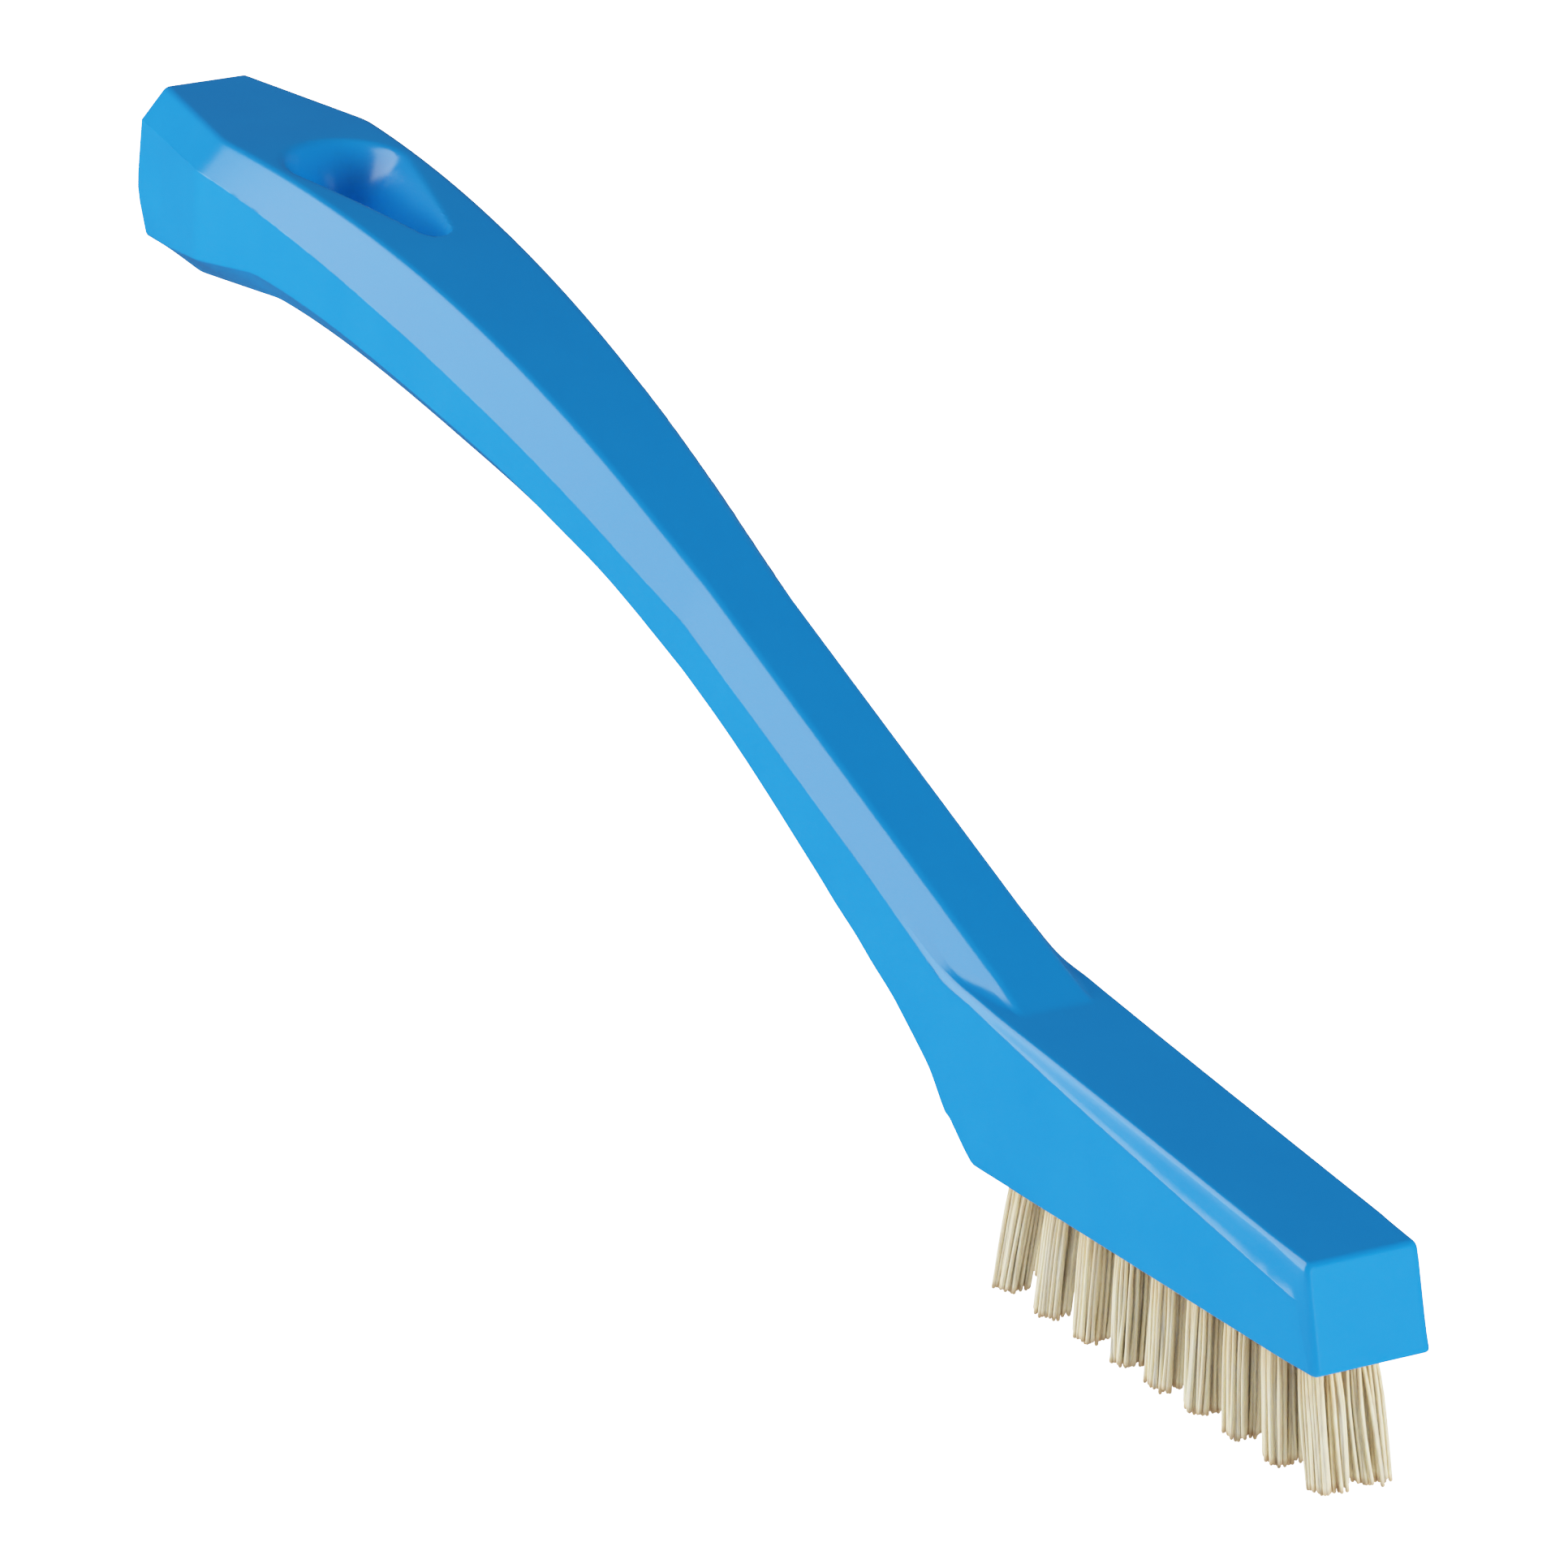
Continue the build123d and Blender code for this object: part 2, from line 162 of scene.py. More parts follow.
# Tuft holes and the cutters that make them
TUFT_HOLE_RADIUS = 1.75
TUFT_HOLE_DEPTH = 6.5
TUFT_HOLE_SIDES = 32
MOUTH_BEVEL = 0.12
MOUTH_MARGIN = 0.02
CUTTER_REACH = 2.0

# Filaments, and how closely they are packed
FILAMENT_SIDES = 8
NEARLY_UPRIGHT = 0.9
FILAMENT_GAP = 0.02
FILAMENT_PITCH = 1.02
ROW_SPACING = math.sqrt(0.75)

# Fold of a filament over the anchor
ANCHOR_HALF_THICKNESS = 0.15
ROOT_HEIGHTS = (1.2, 3.4, 5.4)
ARCH_STEPS = 6
ARCH_RISE = 0.45
ARCH_GROWTH = 0.35

# Tips: how much shorter the outermost are, how uneven they are, and the width and place of the
# rings that round one, as shares of its radius
TIP_DOME = 0.6
TIP_UNEVENNESS = 0.4
TIP_ROUNDING = ((0.75, 0.66), (0.35, 0.95))

# Legs: the share that stray, how far their tips drift, how much they bow and how soon they spread
STRAY_SHARE = 0.04
STRAY_DRIFT = 0.5
USUAL_DRIFT = 0.12
BOW = 0.10
LEG_STEPS = 8
FAN_RATE = 3


# Sizes and colours


def length_value(name, description, millimetres):
    return bpy.props.FloatProperty(
        name=name,
        description=description,
        default=millimetres * MM,
        subtype="DISTANCE",
        unit="LENGTH",
    )


def colour_value(name, description, default):
    return bpy.props.FloatVectorProperty(
        name=name,
        description=description,
        subtype="COLOR",
        size=3,
        min=0.0,
        max=1.0,
        default=default,
    )


def power_value(name, description, watts):
    return bpy.props.FloatProperty(name=name, description=description, default=watts, unit="POWER")


class BrushHandleSizes(bpy.types.PropertyGroup):
    """Sizes and colours of the moulded handle."""

    top_edge: length_value("Top edge radius", "Rounding between the top flat and its chamfer", 1.1)
    seam_edge: length_value(
        "Seam edge radius",
        "Rounding of the widest edge, where the two halves of the mould meet",
        0.35,
    )
    lower_edge: length_value(
        "Lower edge radius",
        "Rounding of the edges under the handle and of the foot of the head",
        0.35,
    )
    head_edge: length_value(
        "Head edge radius",
        "Rounding between the top of the head and its side bevels",
        0.5,
    )
    valley: length_value(
        "Valley radius",
        "Fillet where the shank runs down onto the saddle of the head",
        1.8,
    )
    end_edge: length_value("End edge radius", "Rounding round the nose and round the end of the tail", 0.5)
    seam_height: length_value(
        "Seam height",
        "How far the thin line of flash stands out along the seam",
        0.04,
    )
    colour: colour_value("Plastic colour", "Colour of the moulded plastic", (0.006, 0.245, 0.74))
    roughness: bpy.props.FloatProperty(
        name="Plastic roughness",
        description="How matt the plastic is",
        default=0.22,
        min=0.0,
        max=1.0,
        subtype="FACTOR",
    )


class BrushTuftSizes(bpy.types.PropertyGroup):
    """Sizes and colours of the bristles."""

    filament: length_value("Filament diameter", "Thickness of one bristle", 0.37)
    spread: bpy.props.FloatProperty(
        name="Tip spread",
        description="Width of a tuft at its tips, as a share of its width at the root",
        default=1.08,
        min=1.0,
        max=2.0,
        subtype="FACTOR",
    )
    colour: colour_value("Bristle colour", "Colour along the middle of a bristle", (0.96, 0.85, 0.62))
    tip_colour: colour_value("Tip colour", "Darker colour of the rounded tips", (0.66, 0.50, 0.31))


class BrushStageSizes(bpy.types.PropertyGroup):
    """Floor and lights."""

    floor_colour: colour_value("Floor colour", "Colour of the plain floor", (0.93, 0.93, 0.93))
    left_power: power_value("Left softbox", "Power of the softbox beside the handle", 17.0)
    side_power: power_value("Side fill", "Power of the low light along the side of the brush", 8.2)
    nose_power: power_value("Nose fill", "Power of the low light beyond the nose", 19.0)
    back_power: power_value("Back fill", "Power of the low light behind the brush", 5.0)
    floor_glow: bpy.props.FloatProperty(
        name="Floor glow",
        description="How far the plain floor is lit towards white where the camera sees it",
        default=4.0,
        min=0.0,
    )
    floor_bounce: bpy.props.FloatProperty(
        name="Floor bounce",
        description="Light that the plain floor sends up onto the brush",
        default=0.4,
        min=0.0,
    )


# Lines of the handle


def mix(start, end, share):
    return start + (end - start) * share


def arc_cosine(run, radius, angle):
    """Cosine of the slope after a run along an arc that starts at an angle and flattens."""
    return math.sqrt(1 - (math.sin(angle) - run / radius) ** 2)


def arc_rise(run, radius, angle):
    return radius * (arc_cosine(run, radius, angle) - math.cos(angle))


def top_height(x):
    run = max(ARC_START_X - x, 0)
    straight = JUNCTION_HEIGHT + SHANK_SLOPE * (JUNCTION_X - max(x, ARC_START_X))
    return straight + arc_rise(run, GRIP_TOP_RADIUS, SHANK_ANGLE)


def top_cosine(x):
    return arc_cosine(max(ARC_START_X - x, 0), GRIP_TOP_RADIUS, SHANK_ANGLE)


HEEL_RUN = UNDERSIDE_RADIUS * (math.sin(HEEL_ANGLE) - math.sin(SHANK_ANGLE))
HEEL_RISE = arc_rise(HEEL_RUN, UNDERSIDE_RADIUS, HEEL_ANGLE)


def eased_between(x, places, values):
    """Value at x between the values at places, eased at each place and held beyond the ends."""
    i = int(np.clip(np.searchsorted(places, x) - 1, 0, len(places) - 2))
    share = min(max((x - places[i]) / (places[i + 1] - places[i]), 0.0), 1.0)
    return mix(values[i], values[i + 1], share * share * (3 - 2 * share))


def underside_height(x):
    run = HEEL_X - x
    lift = eased_between(x, UNDERSIDE_PLACES, UNDERSIDE_LIFTS)
    if run <= HEEL_RUN:
        return arc_rise(run, UNDERSIDE_RADIUS, HEEL_ANGLE) + lift
    waist = min(run - HEEL_RUN, WAIST_STRAIGHT)
    rest = run - HEEL_RUN - waist
    return HEEL_RISE + SHANK_SLOPE * waist + arc_rise(rest, UNDERSIDE_RADIUS, SHANK_ANGLE) + lift


def underside_cosine(x):
    run = HEEL_X - x
    if run <= HEEL_RUN:
        return arc_cosine(run, UNDERSIDE_RADIUS, HEEL_ANGLE)
    rest = max(run - HEEL_RUN - WAIST_STRAIGHT, 0)
    return arc_cosine(rest, UNDERSIDE_RADIUS, SHANK_ANGLE)


def flare_share(x):
    return max(FLARE_START_X - x, 0) / (FLARE_START_X - CREASE_X)


def flat_half_width(x):
    return mix(SHANK_FLAT, CREASE_FLAT, flare_share(x))


def chamfer_rise(x):
    """How much taller than wide the upper chamfer is, measured square to the top line."""
    return np.interp(x, RISE_RUN, (1.0, STEEPEST_RISE))


def chamfer_leg(x):
    leg = CHAMFER + CHAMFER_SWELL * math.sin(math.pi * flare_share(x))
    return leg * (1 - NARROWING * (chamfer_rise(x) - 1))


def side_half_width(x):
    """Half width of the shank's sides, which widen a little into the sides of the head."""
    shank_side = SHANK_FLAT + chamfer_leg(SIDE_START_X)
    return np.interp(x, (SIDE_START_X, SIDE_END_X), (shank_side, HEAD_HALF_WIDTH))


HEAD_ANGLE = math.atan(HEAD_SLOPE)
SADDLE_X = JUNCTION_X - SADDLE_RUN
BEVEL_PLACES = (-SADDLE_RUN, -13.5, -9.0, 0.0, 8.0, 16.0, NOSE_X - NOSE_SETBACK - JUNCTION_X)
BEVEL_DROPS = (0.0, 0.1, 0.5, 1.1, 1.65, 2.1, 3.5)
BEVEL_HALF_WIDTHS = (5.8, 5.82, 5.85, 5.95, 5.85, 5.8, 5.7)
SAG_PLACES = (-SADDLE_RUN, -9.5, -3.5)
SAG_DEPTHS = (0.0, 0.45, 0.0)
BEVEL_SHARE = 0.93
VALLEY_STEPS = 8
BEVEL_ROOM = 0.62
TOP_ROOM = 0.6


def head_top_height(x):
    """Top of the head, and behind the junction the saddle that curves up beside the shank."""
    if x >= JUNCTION_X:
        return JUNCTION_HEIGHT - HEAD_SLOPE * (x - JUNCTION_X)
    sine = math.sin(HEAD_ANGLE) + (JUNCTION_X - x) / SADDLE_RADIUS
    rise = SADDLE_RADIUS * (math.cos(HEAD_ANGLE) - math.sqrt(1 - sine ** 2))
    return JUNCTION_HEIGHT + rise - eased_between(x - JUNCTION_X, SAG_PLACES, SAG_DEPTHS)


def valley_height(y, top, head_top, radius):
    """Height at y where the shank's chamfer runs down onto the saddle through a fillet."""
    slope = STEEPEST_RISE / math.cos(SHANK_ANGLE)
    angle = math.atan(slope)
    drop = top - head_top
    radius = max(min(radius, VALLEY_REACH * drop / math.sin(angle) / math.tan(angle / 2)), LEAST_VALLEY)
    meeting = SHANK_FLAT + drop / slope
    reach = radius * math.tan(angle / 2)
    if y <= meeting - reach * math.cos(angle):
        return top - (y - SHANK_FLAT) * slope
    if y >= meeting + reach:
        return head_top
    return head_top + radius - math.sqrt(radius ** 2 - (meeting + reach - y) ** 2)


def upper_corners(x, valley_radius):
    """Seam, bevel, points over the valley and top edge of the section at x, from the side up."""
    if x < SADDLE_X:
        flat = flat_half_width(x)
        side = flat + chamfer_leg(x)
        top = top_height(x)
        if x > SIDE_START_X:
            side = side_half_width(x)
        seam = top - (side - flat) * chamfer_rise(x) / top_cosine(x)
        if x < CREASE_X:
            share = (CREASE_X - x) / (CREASE_X - TAIL_X)
            crease_top = top_height(CREASE_X)
            crease_seam = crease_top - CHAMFER / top_cosine(CREASE_X)
            flat = mix(CREASE_FLAT, TAIL_TOP[0], share)
            side = mix(CREASE_FLAT + CHAMFER, TAIL_CHAMFER[0], share)
            top = mix(crease_top, TAIL_TOP[1], share)
            seam = mix(crease_seam, TAIL_CHAMFER[1], share)
        bevel_y = mix(flat, side, BEVEL_SHARE)
        slope = (top - seam) / (side - flat)

        def height(y):
            return top - (y - flat) * slope

    else:
        flat = SHANK_FLAT
        side = side_half_width(x)
        head_top = head_top_height(x)
        top = max(top_height(x), head_top)
        seam = head_top - np.interp(x - JUNCTION_X, BEVEL_PLACES, BEVEL_DROPS)
        seam -= SHANK_GRAZE * (HEAD_HALF_WIDTH - side)
        bevel_y = np.interp(x - JUNCTION_X, BEVEL_PLACES, BEVEL_HALF_WIDTHS)

        def height(y):
            return valley_height(y, top, head_top, valley_radius)

        seam = max(seam, top - (side - flat) * STEEPEST_RISE / math.cos(SHANK_ANGLE))
    over = [(y, height(y)) for y in np.linspace(bevel_y - BEVEL_ROOM, flat + TOP_ROOM, VALLEY_STEPS)]
    return [(side, seam), (bevel_y, height(bevel_y)), *over, (flat, top)]


LOWER_CREASE_BOTTOM = (flat_half_width(LOWER_CREASE_X), underside_height(LOWER_CREASE_X))
LOWER_CREASE_EDGE = LOWER_CREASE_BOTTOM[1] + chamfer_leg(LOWER_CREASE_X) / underside_cosine(LOWER_CREASE_X)
HEEL_SIDE = CHAMFER / math.cos(HEEL_ANGLE)
FOOT_EDGE_LEAST = 1.1


def lower_corners(x, side):
    """Bottom edge and lower side edge of the section at x."""
    if x >= HEEL_X:
        run = x - HEEL_X
        bottom_y = min(SHANK_FLAT + run * math.sin(HEEL_ANGLE), HEAD_HALF_WIDTH - FOOT_EDGE_LEAST)
        return [(bottom_y, 0.0), (side, max(HEEL_SIDE - run * math.tan(HEEL_ANGLE), 0.0))]
    if x >= LOWER_CREASE_X:
        bottom = underside_height(x)
        leg = chamfer_leg(x)
        return [(flat_half_width(x), bottom), (side, bottom + leg / underside_cosine(x))]
    if x >= KNOB_X:
        share = (LOWER_CREASE_X - x) / (LOWER_CREASE_X - KNOB_X)
        start, end = (*LOWER_CREASE_BOTTOM, LOWER_CREASE_EDGE), (*KNOB, KNOB_EDGE_HEIGHT)
    else:
        share = (KNOB_X - x) / (KNOB_X - TAIL_X)
        start, end = (*KNOB, KNOB_EDGE_HEIGHT), (*TAIL_BOTTOM, TAIL_EDGE_HEIGHT)
    y, bottom, edge = (mix(first, last, share) for first, last in zip(start, end))
    return [(y, bottom), (side, edge)]


def section_corners(x, valley_radius):
    """Corners of half the section at x, from the middle of the bottom to the middle of the top."""
    upper = upper_corners(x, valley_radius)
    lower = lower_corners(x, upper[0][0])
    return [(0.0, lower[0][1]), *lower, *upper, (0.0, upper[-1][1])]


SOFT_PLACES = (-70, -60)
SOFT_RUNS = (1.1, 0.35)
SOFT_SAMPLES = 9


def soft_corners(x, valley_radius):
    """Corners averaged over a short run, which softens the creases that cross the handle."""
    run = np.interp(x, SOFT_PLACES, SOFT_RUNS)
    places = [x + run * share for share in np.linspace(-1, 1, SOFT_SAMPLES)]
    return np.mean([section_corners(place, valley_radius) for place in places], axis=0)


# Skin of the handle

# Steps along each arc and each flat of a half section, from the middle of the bottom
ARC_STEPS = (5, 5, 6, 7, *[1] * VALLEY_STEPS, 8)
FLAT_STEPS = (22, 3, 8, 3, *[1] * (VALLEY_STEPS + 1), 22)
SEAM_CORNER = 3

# Least run of a rounding along an edge, and the share of an edge that two roundings may take
LEAST_TANGENT = 0.06
EDGE_USE = 0.94
TINY = 1e-6

# Line of flash: its shape over the seam's rounding, and its unevenness along the seam
SEAM_SHAPE = (0.0, 0.15, 0.6, 1.0, 0.6, 0.15, 0.0)
SEAM_WAVES = ((1.7, 0.0), (3.1, 1.0), (0.43, 2.0))
SEAM_LEAST = 0.25
SEAM_MEAN = 0.8
SEAM_SWING = 0.25

# Extra rounding of each corner at the nose, and the run over which it grows
NOSE_ROUNDING = (0.0, 0.3, 0.4, 0.4, *[0.0] * VALLEY_STEPS, 0.0)
NOSE_ROUNDING_RUN = (NOSE_X - 7.0, NOSE_X - 2.5)

# How sharply the nose's bevels meet the skin, how far they reach at least beyond the rounding of
# the end, and how softly the two slopes of the tail's end meet
NOSE_SHARPNESS = 25
LEAST_NOSE_BEVEL = 0.02
TAIL_SOFTNESS = 0.35

# Rings: stretches of upright ones as start, end and spacing, and the steps of the slanted ones, of
# the rounded ends and of the faces inside them
STRETCHES = (
    (-95.0, -81.0, 0.5),
    (-81.0, -55.0, 0.33),
    (-55.0, 35.0, 1.0),
    (35.0, 56.0, 0.4),
    (56.0, 90.0, 1.2),
)
TAIL_SECTIONS = 13
NOSE_SECTIONS = 15
CORNER_SECTIONS = 12
SLANT_ROUNDS = 4
ROUNDING_STEPS = 7
ROUNDING_TURNS = [math.pi / 2 * i / ROUNDING_STEPS for i in range(1, ROUNDING_STEPS + 1)]
FACE_SHARES = (0.985, 0.95, 0.88, 0.75, 0.6, 0.45, 0.3, 0.15)

# Edges sharper than this stay crisp where the skin is shaded smooth
CRISP_ANGLE = math.radians(38)


def round_profile(corners, radii, seam):
    """Points along a half section, with each corner rounded and the line of flash on the seam."""
    corners = np.asarray(corners)
    edges = np.diff(corners, axis=0)
    lengths = np.maximum(np.hypot(edges[:, 0], edges[:, 1]), TINY)
    directions = edges / lengths[:, None]
    turns = [
        math.acos(max(-1.0, min(1.0, float(directions[i] @ directions[i + 1]))))
        for i in range(len(corners) - 2)
    ]
    tangents = [max(radius * math.tan(turn / 2), LEAST_TANGENT) for radius, turn in zip(radii, turns)]
    before = [0.0, *tangents, 0.0]
    after = [0.0, *tangents, 0.0]
    for i, length in enumerate(lengths):
        used = after[i] + before[i + 1]
        if used > EDGE_USE * length:
            share = EDGE_USE * length / used
            after[i] *= share
            before[i + 1] *= share
    points = [corners[0]]
    for i in range(len(lengths)):
        start = corners[i] + directions[i] * after[i]
        end = corners[i + 1] - directions[i] * before[i + 1]
        points += [mix(start, end, step / FLAT_STEPS[i]) for step in range(1, FLAT_STEPS[i] + 1)]
        if i == len(lengths) - 1:
            break
        corner = corners[i + 1]
        finish = corner + directions[i + 1] * after[i + 1]
        weight = math.cos(turns[i] / 2)
        steps = ARC_STEPS[i]
        for step in range(1, steps + 1):
            t = step / steps
            a, b, c = (1 - t) ** 2, 2 * weight * t * (1 - t), t * t
            point = (a * end + b * corner + c * finish) / (a + b + c)
            if i + 1 == SEAM_CORNER:
                outward = directions[i] - directions[i + 1]
                outward = outward / max(np.linalg.norm(outward), TINY)
                point = point + outward * seam * SEAM_SHAPE[step]
            points.append(point)
    return np.array(points)


def smooth_least(first, second, sharpness):
    """The smaller of two values, rounded where they meet."""
    low = np.minimum(first, second)
    return low - np.log1p(np.exp(-sharpness * np.abs(first - second))) / sharpness


def nose_edge_x(z):
    return NOSE_X - NOSE_SETBACK * z / NOSE_HEIGHT


def nose_bevel(z):
    return mix(NOSE_BEVEL_BOTTOM, NOSE_BEVEL_TOP, z / NOSE_HEIGHT)


def nose_half_width(share):
    """Half width allowed by the bevelled corners of the nose; share is 1 at their rear crease."""
    return mix(NOSE_HALF_WIDTH, HEAD_HALF_WIDTH, share)


def tail_end_x(z):
    above = TAIL_LEAN * (z - TAIL_PEAK_HEIGHT) / (TAIL_TOP[1] - TAIL_PEAK_HEIGHT)
    below = TAIL_UNDERCUT * (TAIL_PEAK_HEIGHT - z) / (TAIL_PEAK_HEIGHT - TAIL_BOTTOM[1])
    return TAIL_X + TAIL_SOFTNESS * np.logaddexp(above / TAIL_SOFTNESS, below / TAIL_SOFTNESS)


def slanted_section(place, valley_radius):
    """Corners of a section that isn't upright: place gives its x at a height."""
    start = place(TAIL_PEAK_HEIGHT if place(0.0) < 0 else NOSE_HEIGHT)
    corners = soft_corners(float(start), valley_radius)
    for step in range(SLANT_ROUNDS):
        corners = np.array(
            [soft_corners(float(place(corner[1])), valley_radius)[i] for i, corner in enumerate(corners)]
        )
    return corners


def seam_height(x, full):
    """Height of the flash at x, uneven along the seam."""
    wave = sum(math.sin(x * rate + shift) for rate, shift in SEAM_WAVES)
    return full * max(SEAM_LEAST, SEAM_MEAN + SEAM_SWING * wave)


def stations():
    """Places of the upright sections, closer where the shape changes quickly."""
    places = []
    for start, end, spacing in STRETCHES:
        count = round((end - start) / spacing)
        places += [mix(start, end, i / count) for i in range(count)]
    return places + [STRETCHES[-1][1]]


def corner_radii(sizes, seam_x):
    """Rounding of each corner of a section, a little larger at the nose."""
    radii = (
        sizes.lower_edge / MM,
        sizes.lower_edge / MM,
        sizes.seam_edge / MM,
        sizes.head_edge / MM,
        *[0.0] * VALLEY_STEPS,
        sizes.top_edge / MM,
    )
    growth = np.interp(seam_x, NOSE_ROUNDING_RUN, (0.0, 1.0))
    return [radius + growth * extra for radius, extra in zip(radii, NOSE_ROUNDING)]


def half_ring(place, corners, sizes):
    """Half a ring of the skin, as x, y, z rows; place gives its x at a height."""
    seam_x = float(place(corners[SEAM_CORNER][1]))
    seam = seam_height(seam_x, sizes.seam_height / MM)
    points = round_profile(corners, corner_radii(sizes, seam_x), seam)
    return np.column_stack([place(points[:, 1]) + 0 * points[:, 1], points])


def slanted_ring(place, sizes):
    return half_ring(place, slanted_section(place, sizes.valley / MM), sizes)


def drawn_in(ring, width_share, middle, height_share):
    """A copy of a ring drawn in towards the middle of a face."""
    ring = ring.copy()
    ring[:, 1] *= width_share
    ring[:, 2] = middle + (ring[:, 2] - middle) * height_share
    return ring


def face_rings(rim, middle, face_x):
    """Rings inside the rim of a face; face_x gives the face's x at a height."""
    rings = []
    for share in FACE_SHARES:
        ring = drawn_in(rim, share, middle, share)
        ring[:, 0] = face_x(ring[:, 2])
        rings.append(ring)
    return rings


def tail_rings(first_x, sizes):
    """Slanted rings out to the end of the tail, over its rounded edge and across its face."""
    edge = sizes.end_edge / MM
    rings = []
    for share in np.linspace(0, 1, TAIL_SECTIONS)[1:]:
        rings.append(slanted_ring(lambda z: mix(first_x, tail_end_x(z) + edge, share), sizes))
    end = rings[-1]
    low, high = end[:, 2].min(), end[:, 2].max()
    middle = (high + low) / 2
    for turn in ROUNDING_TURNS:
        inset = edge * (1 - math.cos(turn))
        ring = drawn_in(end, 1 - inset / end[:, 1].max(), middle, 1 - inset / ((high - low) / 2))
        ring[:, 0] = tail_end_x(ring[:, 2]) + edge * (1 - math.sin(turn))
        rings.append(ring)
    return rings + face_rings(rings[-1], middle, tail_end_x)


def bevel_nose(ring):
    """Hold a ring within the bevelled corners of the nose."""
    behind = (nose_edge_x(ring[:, 2]) - ring[:, 0]) / nose_bevel(ring[:, 2])
    ring[:, 1] = smooth_least(ring[:, 1], nose_half_width(behind), NOSE_SHARPNESS)
    return ring


def corner_x(z, edge, share):
    """Place at a height over a bevelled corner of the nose, from its rear crease to the rounding."""
    bevel = np.maximum(nose_bevel(z), edge + LEAST_NOSE_BEVEL)
    return nose_edge_x(z) - mix(edge, bevel, share)


def nose_rings(last_x, sizes):
    """Slanted rings to the bevelled corners of the nose, over them, and across its face."""
    edge = sizes.end_edge / MM
    middle = NOSE_HEIGHT / 2
    rings = []
    for share in np.linspace(0, 1, NOSE_SECTIONS)[1:]:
        ring = slanted_ring(lambda z: mix(last_x, nose_edge_x(z) - nose_bevel(z), share), sizes)
        rings.append(bevel_nose(ring))
    for share in np.linspace(1, 0, CORNER_SECTIONS)[1:]:
        ring = slanted_ring(lambda z: corner_x(z, edge, share), sizes)
        rings.append(bevel_nose(ring))
    front = rings[-1]
    for turn in ROUNDING_TURNS:
        inset = edge * (1 - math.cos(turn))
        left = edge * (1 - math.sin(turn))
        ring = drawn_in(front, 1 - inset / HEAD_HALF_WIDTH, middle, 1 - inset / middle)
        ring[:, 0] = nose_edge_x(ring[:, 2]) - left
        limit = nose_half_width(left / nose_bevel(ring[:, 2])) - inset
        ring[:, 1] = smooth_least(ring[:, 1], limit, NOSE_SHARPNESS)
        rings.append(ring)
    return rings + face_rings(rings[-1], middle, nose_edge_x)


def make_rings(sizes):
    """Half rings of the handle's skin from the tail to the nose."""
    upright = []
    for x in stations():
        upright.append(half_ring(lambda z: x, soft_corners(x, sizes.valley / MM), sizes))
    tail = tail_rings(upright[0][0, 0], sizes)
    nose = nose_rings(upright[-1][0, 0], sizes)
    halves = tail[::-1] + upright + nose
    for ring in halves:
        ring[0, 1] = 0.0
        ring[-1, 1] = 0.0
    return halves


def hole_axes():
    along = np.array([math.cos(HOLE_TILT), 0.0, -math.sin(HOLE_TILT)])
    axis = np.array([math.sin(HOLE_TILT), 0.0, math.cos(HOLE_TILT)])
    middle = np.array([HOLE_MIDDLE_X, 0.0, top_height(HOLE_MIDDLE_X)])
    return along, axis, middle - along * (HOLE_LENGTH / 2)


def teardrop_distance(along, across, round_radius, point_radius):
    """Distance outside a teardrop: a large round at 0 and a small one at the hole's length."""
    sine = (round_radius - point_radius) / HOLE_LENGTH
    cosine = np.sqrt(1 - sine ** 2)
    place = along * cosine - across * sine
    flank = along * sine + across * cosine - round_radius
    large = np.hypot(along, across) - round_radius
    small = np.hypot(along - HOLE_LENGTH, across) - point_radius
    return np.where(place < 0, large, np.where(place > HOLE_LENGTH * cosine, small, flank))


def mouth_share(along, across):
    """0 on the throat's outline, 1 on the mouth's, and evenly between and beyond them."""
    low = np.full(along.shape, MOUTH_SHARE_RANGE[0])
    high = np.full(along.shape, MOUTH_SHARE_RANGE[1])
    for halving in range(MOUTH_HALVINGS):
        share = (low + high) / 2
        round_radius = THROAT_RADII[0] + MOUTH_GROWTH[0] * share
        point_radius = THROAT_RADII[1] + MOUTH_GROWTH[1] * share
        outside = teardrop_distance(along, across, round_radius, point_radius) > 0
        low = np.where(outside, share, low)
        high = np.where(outside, high, share)
    return (low + high) / 2


def flare_depth(share):
    """Depth of the hang hole's flare below the face: rolled at the rim, steep at the throat."""
    straight = FLARE_STRAIGHT_SHARE
    curved = 1 - straight
    height = (np.sqrt(straight ** 2 + 4 * curved * np.maximum(share, 0.0)) - straight) / (2 * curved)
    depth = FLARE_DEPTH * (1 - height) + THROAT_STEEPNESS * np.maximum(-share, 0.0)
    return np.minimum(RIM_SOFTNESS * np.logaddexp(0, depth / RIM_SOFTNESS), DEEPEST_PRESS)


def press_mouths(ring):
    """Sink the top and bottom flats of a half ring into the two flares of the hang hole."""
    along, axis, origin = hole_axes()
    top_start = len(ring) - FLAT_STEPS[-1] - 1
    for part, direction in ((slice(top_start, None), -1.0), (slice(0, FLAT_STEPS[0] + 1), 1.0)):
        points = ring[part]
        place = (points - origin) @ along
        if place.max() < -ROUND_END_REACH or place.min() > HOLE_LENGTH + POINT_END_REACH:
            continue
        share = mouth_share(place, points[:, 1])
        ring[part] = points + direction * flare_depth(share)[:, None] * axis


def to_metres(points):
    points = np.asarray(points, float) + (0.0, 0.0, BRISTLE_LENGTH)
    return points * MM


